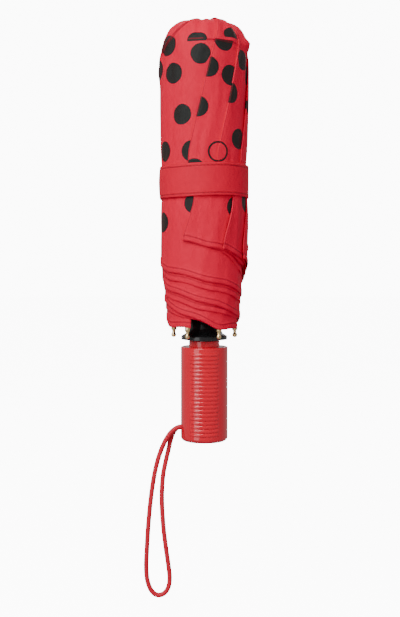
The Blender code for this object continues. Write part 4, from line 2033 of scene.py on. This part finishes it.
@dataclass
class OpenCanopy:
    """The opened cloth, which lies folded in the plane of the first arm while furled.

    Places on an arm are (distance from the shaft, height) with the frame opened. The tail is
    the inner end of the middle rib, which stands a little proud under the cloth.
    """

    first_arm_deg: float = 120.0
    panel_deg: float = 60.0
    spread_deg: float = 179.0
    fold_width: float = 1.5
    hub: tuple[float, float] = (7.7, 267.8)
    brim: tuple[float, float] = (12.0, 266.4)
    tail: tuple[float, float] = (165.5, 226.9)
    knee: tuple[float, float] = (174.9, 220.6)
    elbow: tuple[float, float] = (333.0, 150.2)
    rib_end: tuple[float, float] = (486.25, 42.95)
    above_rib: float = 2.5
    hem_reach: float = 485.0
    border: float = 52.0
    scallop: float = 0.03
    spacing: float = 52.0
    ring_lap: float = 1.6

    def _rib_height(self, reach: np.ndarray) -> np.ndarray:
        """The cloth's height over a rib, at distances from the shaft.

        Args:
            reach: distances from the shaft, mm.

        Returns:
            Heights, mm.
        """
        beyond = (self.rib_end[0] + 34.0, self.rib_end[1] - 23.7)
        places = [self.hub, self.brim, self.tail, self.knee, self.elbow, self.rib_end, beyond]
        heights = [h + (self.above_rib if i > 2 else 0.0) for i, (_, h) in enumerate(places)]
        return np.interp(reach, [p[0] for p in places], heights)

    def _height(self, reach: np.ndarray, turn: np.ndarray) -> np.ndarray:
        """The opened cloth's height at a distance and at degrees from the first arm.

        Args:
            reach: distances from the shaft, mm.
            turn: degrees from the first arm.

        Returns:
            Heights, mm.
        """
        off = np.mod(turn, self.panel_deg)
        off = np.minimum(off, self.panel_deg - off)
        chord = np.cos(np.radians(30 - off)) / math.cos(math.radians(30)) - 1
        sag = np.interp(reach, [0, 200, 333, 420, 500], [0.6, 0.6, 0.2, 0.85, 0.85])
        return self._rib_height(reach * (1 + sag * chord))

    def _edge(self, turn: np.ndarray) -> np.ndarray:
        """The hem's distance from the shaft.

        Args:
            turn: degrees from the first arm.

        Returns:
            Distances, mm.
        """
        off = np.mod(turn, self.panel_deg)
        chord = math.cos(math.radians(30)) / np.cos(np.radians(30 - off))
        return self.hem_reach * chord * (1 - self.scallop * np.sin(np.radians(off * 3)))

    def _ink(self, reach: np.ndarray, turn: np.ndarray) -> tuple[np.ndarray, np.ndarray]:
        """Distances in mm to the nearest spot's edge and to the nearest seam.

        Args:
            reach: distances from the shaft, mm.
            turn: degrees from the first arm.

        Returns:
            Distances to a spot, negative inside it, and to a seam.
        """
        panel = np.floor(turn / self.panel_deg)
        off = np.radians(np.mod(turn, self.panel_deg) - 30)
        x, y = reach * np.cos(off), reach * np.sin(off)
        gap = np.full(np.shape(reach), 30.0)
        step = self.spacing
        row = np.round(x / (step * 0.5))
        for offset in (-1, 0, 1):
            this = row + offset
            shift = np.where(np.mod(this + panel, 2) > 0.5, 0.5, 0.0) * step
            middle = np.round((y - shift) / step) * step + shift
            dx, dy = x - this * step * 0.5, y - middle
            inside = this * step * 0.5 < (self.hem_reach - self.border) * math.cos(math.radians(30))
            one = np.hypot(dx, dy) - SPOT_RADIUS
            ring = np.mod(this * 3 + np.round(middle / step * 2) * 5 + panel, 7) == 3
            one = np.where(ring, np.maximum(one, -(one + RING_WIDTH)), one)
            gap = np.minimum(gap, np.where(inside & (this > 0.5), one, 30.0))
        seam = reach * np.sin(np.radians(30) - np.abs(off))
        return gap, np.abs(seam)

    def build(self, frame: Frame, finishes: Finishes) -> None:
        """Builds the three rings, each in two halves.

        Args:
            frame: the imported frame.
            finishes: the finishes.
        """
        chain: list[str] = []
        bounds = (self.hub[0], self.knee[0], self.elbow[0], None)
        hinges = ("top_rib_hinge_1", "knee_hinge_1", "elbow_hinge_1")
        bodies = ("top_rib_1", "middle_rib_1", "outer_rib_1")
        for ring, start, end, hinge, body in zip(Ring, bounds, bounds[1:], hinges, bodies):
            chain.append(hinge)
            closing = np.linalg.inv(frame.opened(chain))
            for side, sign in (("left", 1.0), ("right", -1.0)):
                rest, reach, turn = self._half(frame, start, end, closing, sign)
                piece = new_mesh(
                    f"{ring.value}_canopy_{side}",
                    rest,
                    grid_faces(*reach.shape, flip=sign < 0),
                    finishes.printed,
                )
                gap, seam = self._ink(reach, sign * turn)
                set_number(piece, "print_mm", gap)
                # Painted shade: the cloth is darkened along the seams between panels.
                set_number(piece, "seam_shade_mm", seam)
                set_uv(piece, np.radians(turn) * reach, reach)
                self._bend(piece, rest[0], sign, f"{ring.value}_fold_{side}")
        log.info("opened canopy: 6 pieces")

    def _axes(self) -> tuple[np.ndarray, np.ndarray]:
        """The directions along the first arm and across it.

        Returns:
            Two unit vectors.
        """
        arm = math.radians(self.first_arm_deg)
        along = np.array([math.cos(arm), math.sin(arm), 0.0])
        return along, np.array([-math.sin(arm), math.cos(arm), 0.0])

    def _half(
        self, frame: Frame, start: float, end: float | None, closing: np.ndarray, sign: float
    ) -> tuple[np.ndarray, ...]:
        """One half of a ring, laid out opened and then folded back.

        Args:
            frame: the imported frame.
            start: the ring's inner distance from the shaft, mm.
            end: its outer distance, or None at the hem.
            closing: the matrix that folds the opened ring's rib back to rest.
            sign: 1 for the left half, -1 for the right half.

        Returns:
            The points at rest, their distances from the shaft and their degrees.
        """
        rows, columns = ((62, 241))
        turn = np.linspace(0.0, 180.0, columns)
        edge = self._edge(turn) if end is None else np.full(columns, end + self.ring_lap)
        reach = start + np.linspace(0, 1, rows)[:, None] * (edge - start)
        turn = np.broadcast_to(turn, reach.shape)
        height = self._height(reach, turn)
        if end is not None:
            height = height - 0.3 * np.clip((reach - end) / self.ring_lap, 0, 1)
        aside = self._aside(reach, turn)
        flat = np.sqrt(reach**2 - aside**2)
        along, across = self._axes()
        opened = flat[..., None] * MM * along + sign * aside[..., None] * MM * across
        opened[..., 2] = frame.base + height * MM
        rest = opened.reshape(-1, 3) @ closing[:3, :3].T + closing[:3, 3]
        return rest, reach, turn

    def _aside(self, reach: np.ndarray, turn: np.ndarray) -> np.ndarray:
        """How far beside the arm's plane each point lies while folded, mm.

        A point's share of the bend between the rib and the fold body depends on this
        distance, and its own angle adds to the bend: a few rounds settle the two. The last
        degree past the spread is reached by the distance alone.

        Args:
            reach: distances from the shaft, mm.
            turn: degrees from the first arm.

        Returns:
            Distances, mm.
        """
        aside = np.zeros(reach.shape)
        for _ in range(12):
            tilt = np.degrees(np.arcsin(np.clip(aside / reach, -1, 1)))
            share = np.clip((turn - tilt) / self.spread_deg, 0, 1)
            aside = self.fold_width * (0.5 - np.sin(np.arcsin(1 - 2 * share) / 3))
        past = np.radians(np.maximum(turn - self.spread_deg, 0.0))
        return np.maximum(aside, reach * np.sin(past))

    def _bend(
        self, piece: bpy.types.Object, first: np.ndarray, sign: float, fold: str
    ) -> None:
        """Bakes a piece's transform into its mesh and hides its fold body's node.

        Args:
            piece: the half ring.
            first: its first point at rest.
            sign: 1 for the left half, -1 for the right half.
            fold: the fold body.
        """
        across = self._axes()[1]
        begin = first - across * (first @ across)
        finish = begin + across * sign * self.fold_width * MM
        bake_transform(piece)
        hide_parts(fold)


# ------------------------------------------------------------------ making
def main() -> None:
    """Loads the frame, builds every sub-assembly in order and finishes."""
    logging.basicConfig(level=logging.INFO, format="%(name)s: %(message)s")
    frame = Frame(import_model())
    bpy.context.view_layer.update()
    finishes = Finishes()
    Studio().build(frame)
    WristCord().build(frame, finishes)
    repeat = Repeat("repeat")
    Handle().build(frame, finishes, repeat)
    Mechanism().build(frame, finishes)
    FurledCanopy().build(frame, finishes, repeat)
    ClosingStrap().build(frame, finishes, repeat)
    OpenCanopy().build(frame, finishes)


if __name__ == "__main__":
    main()
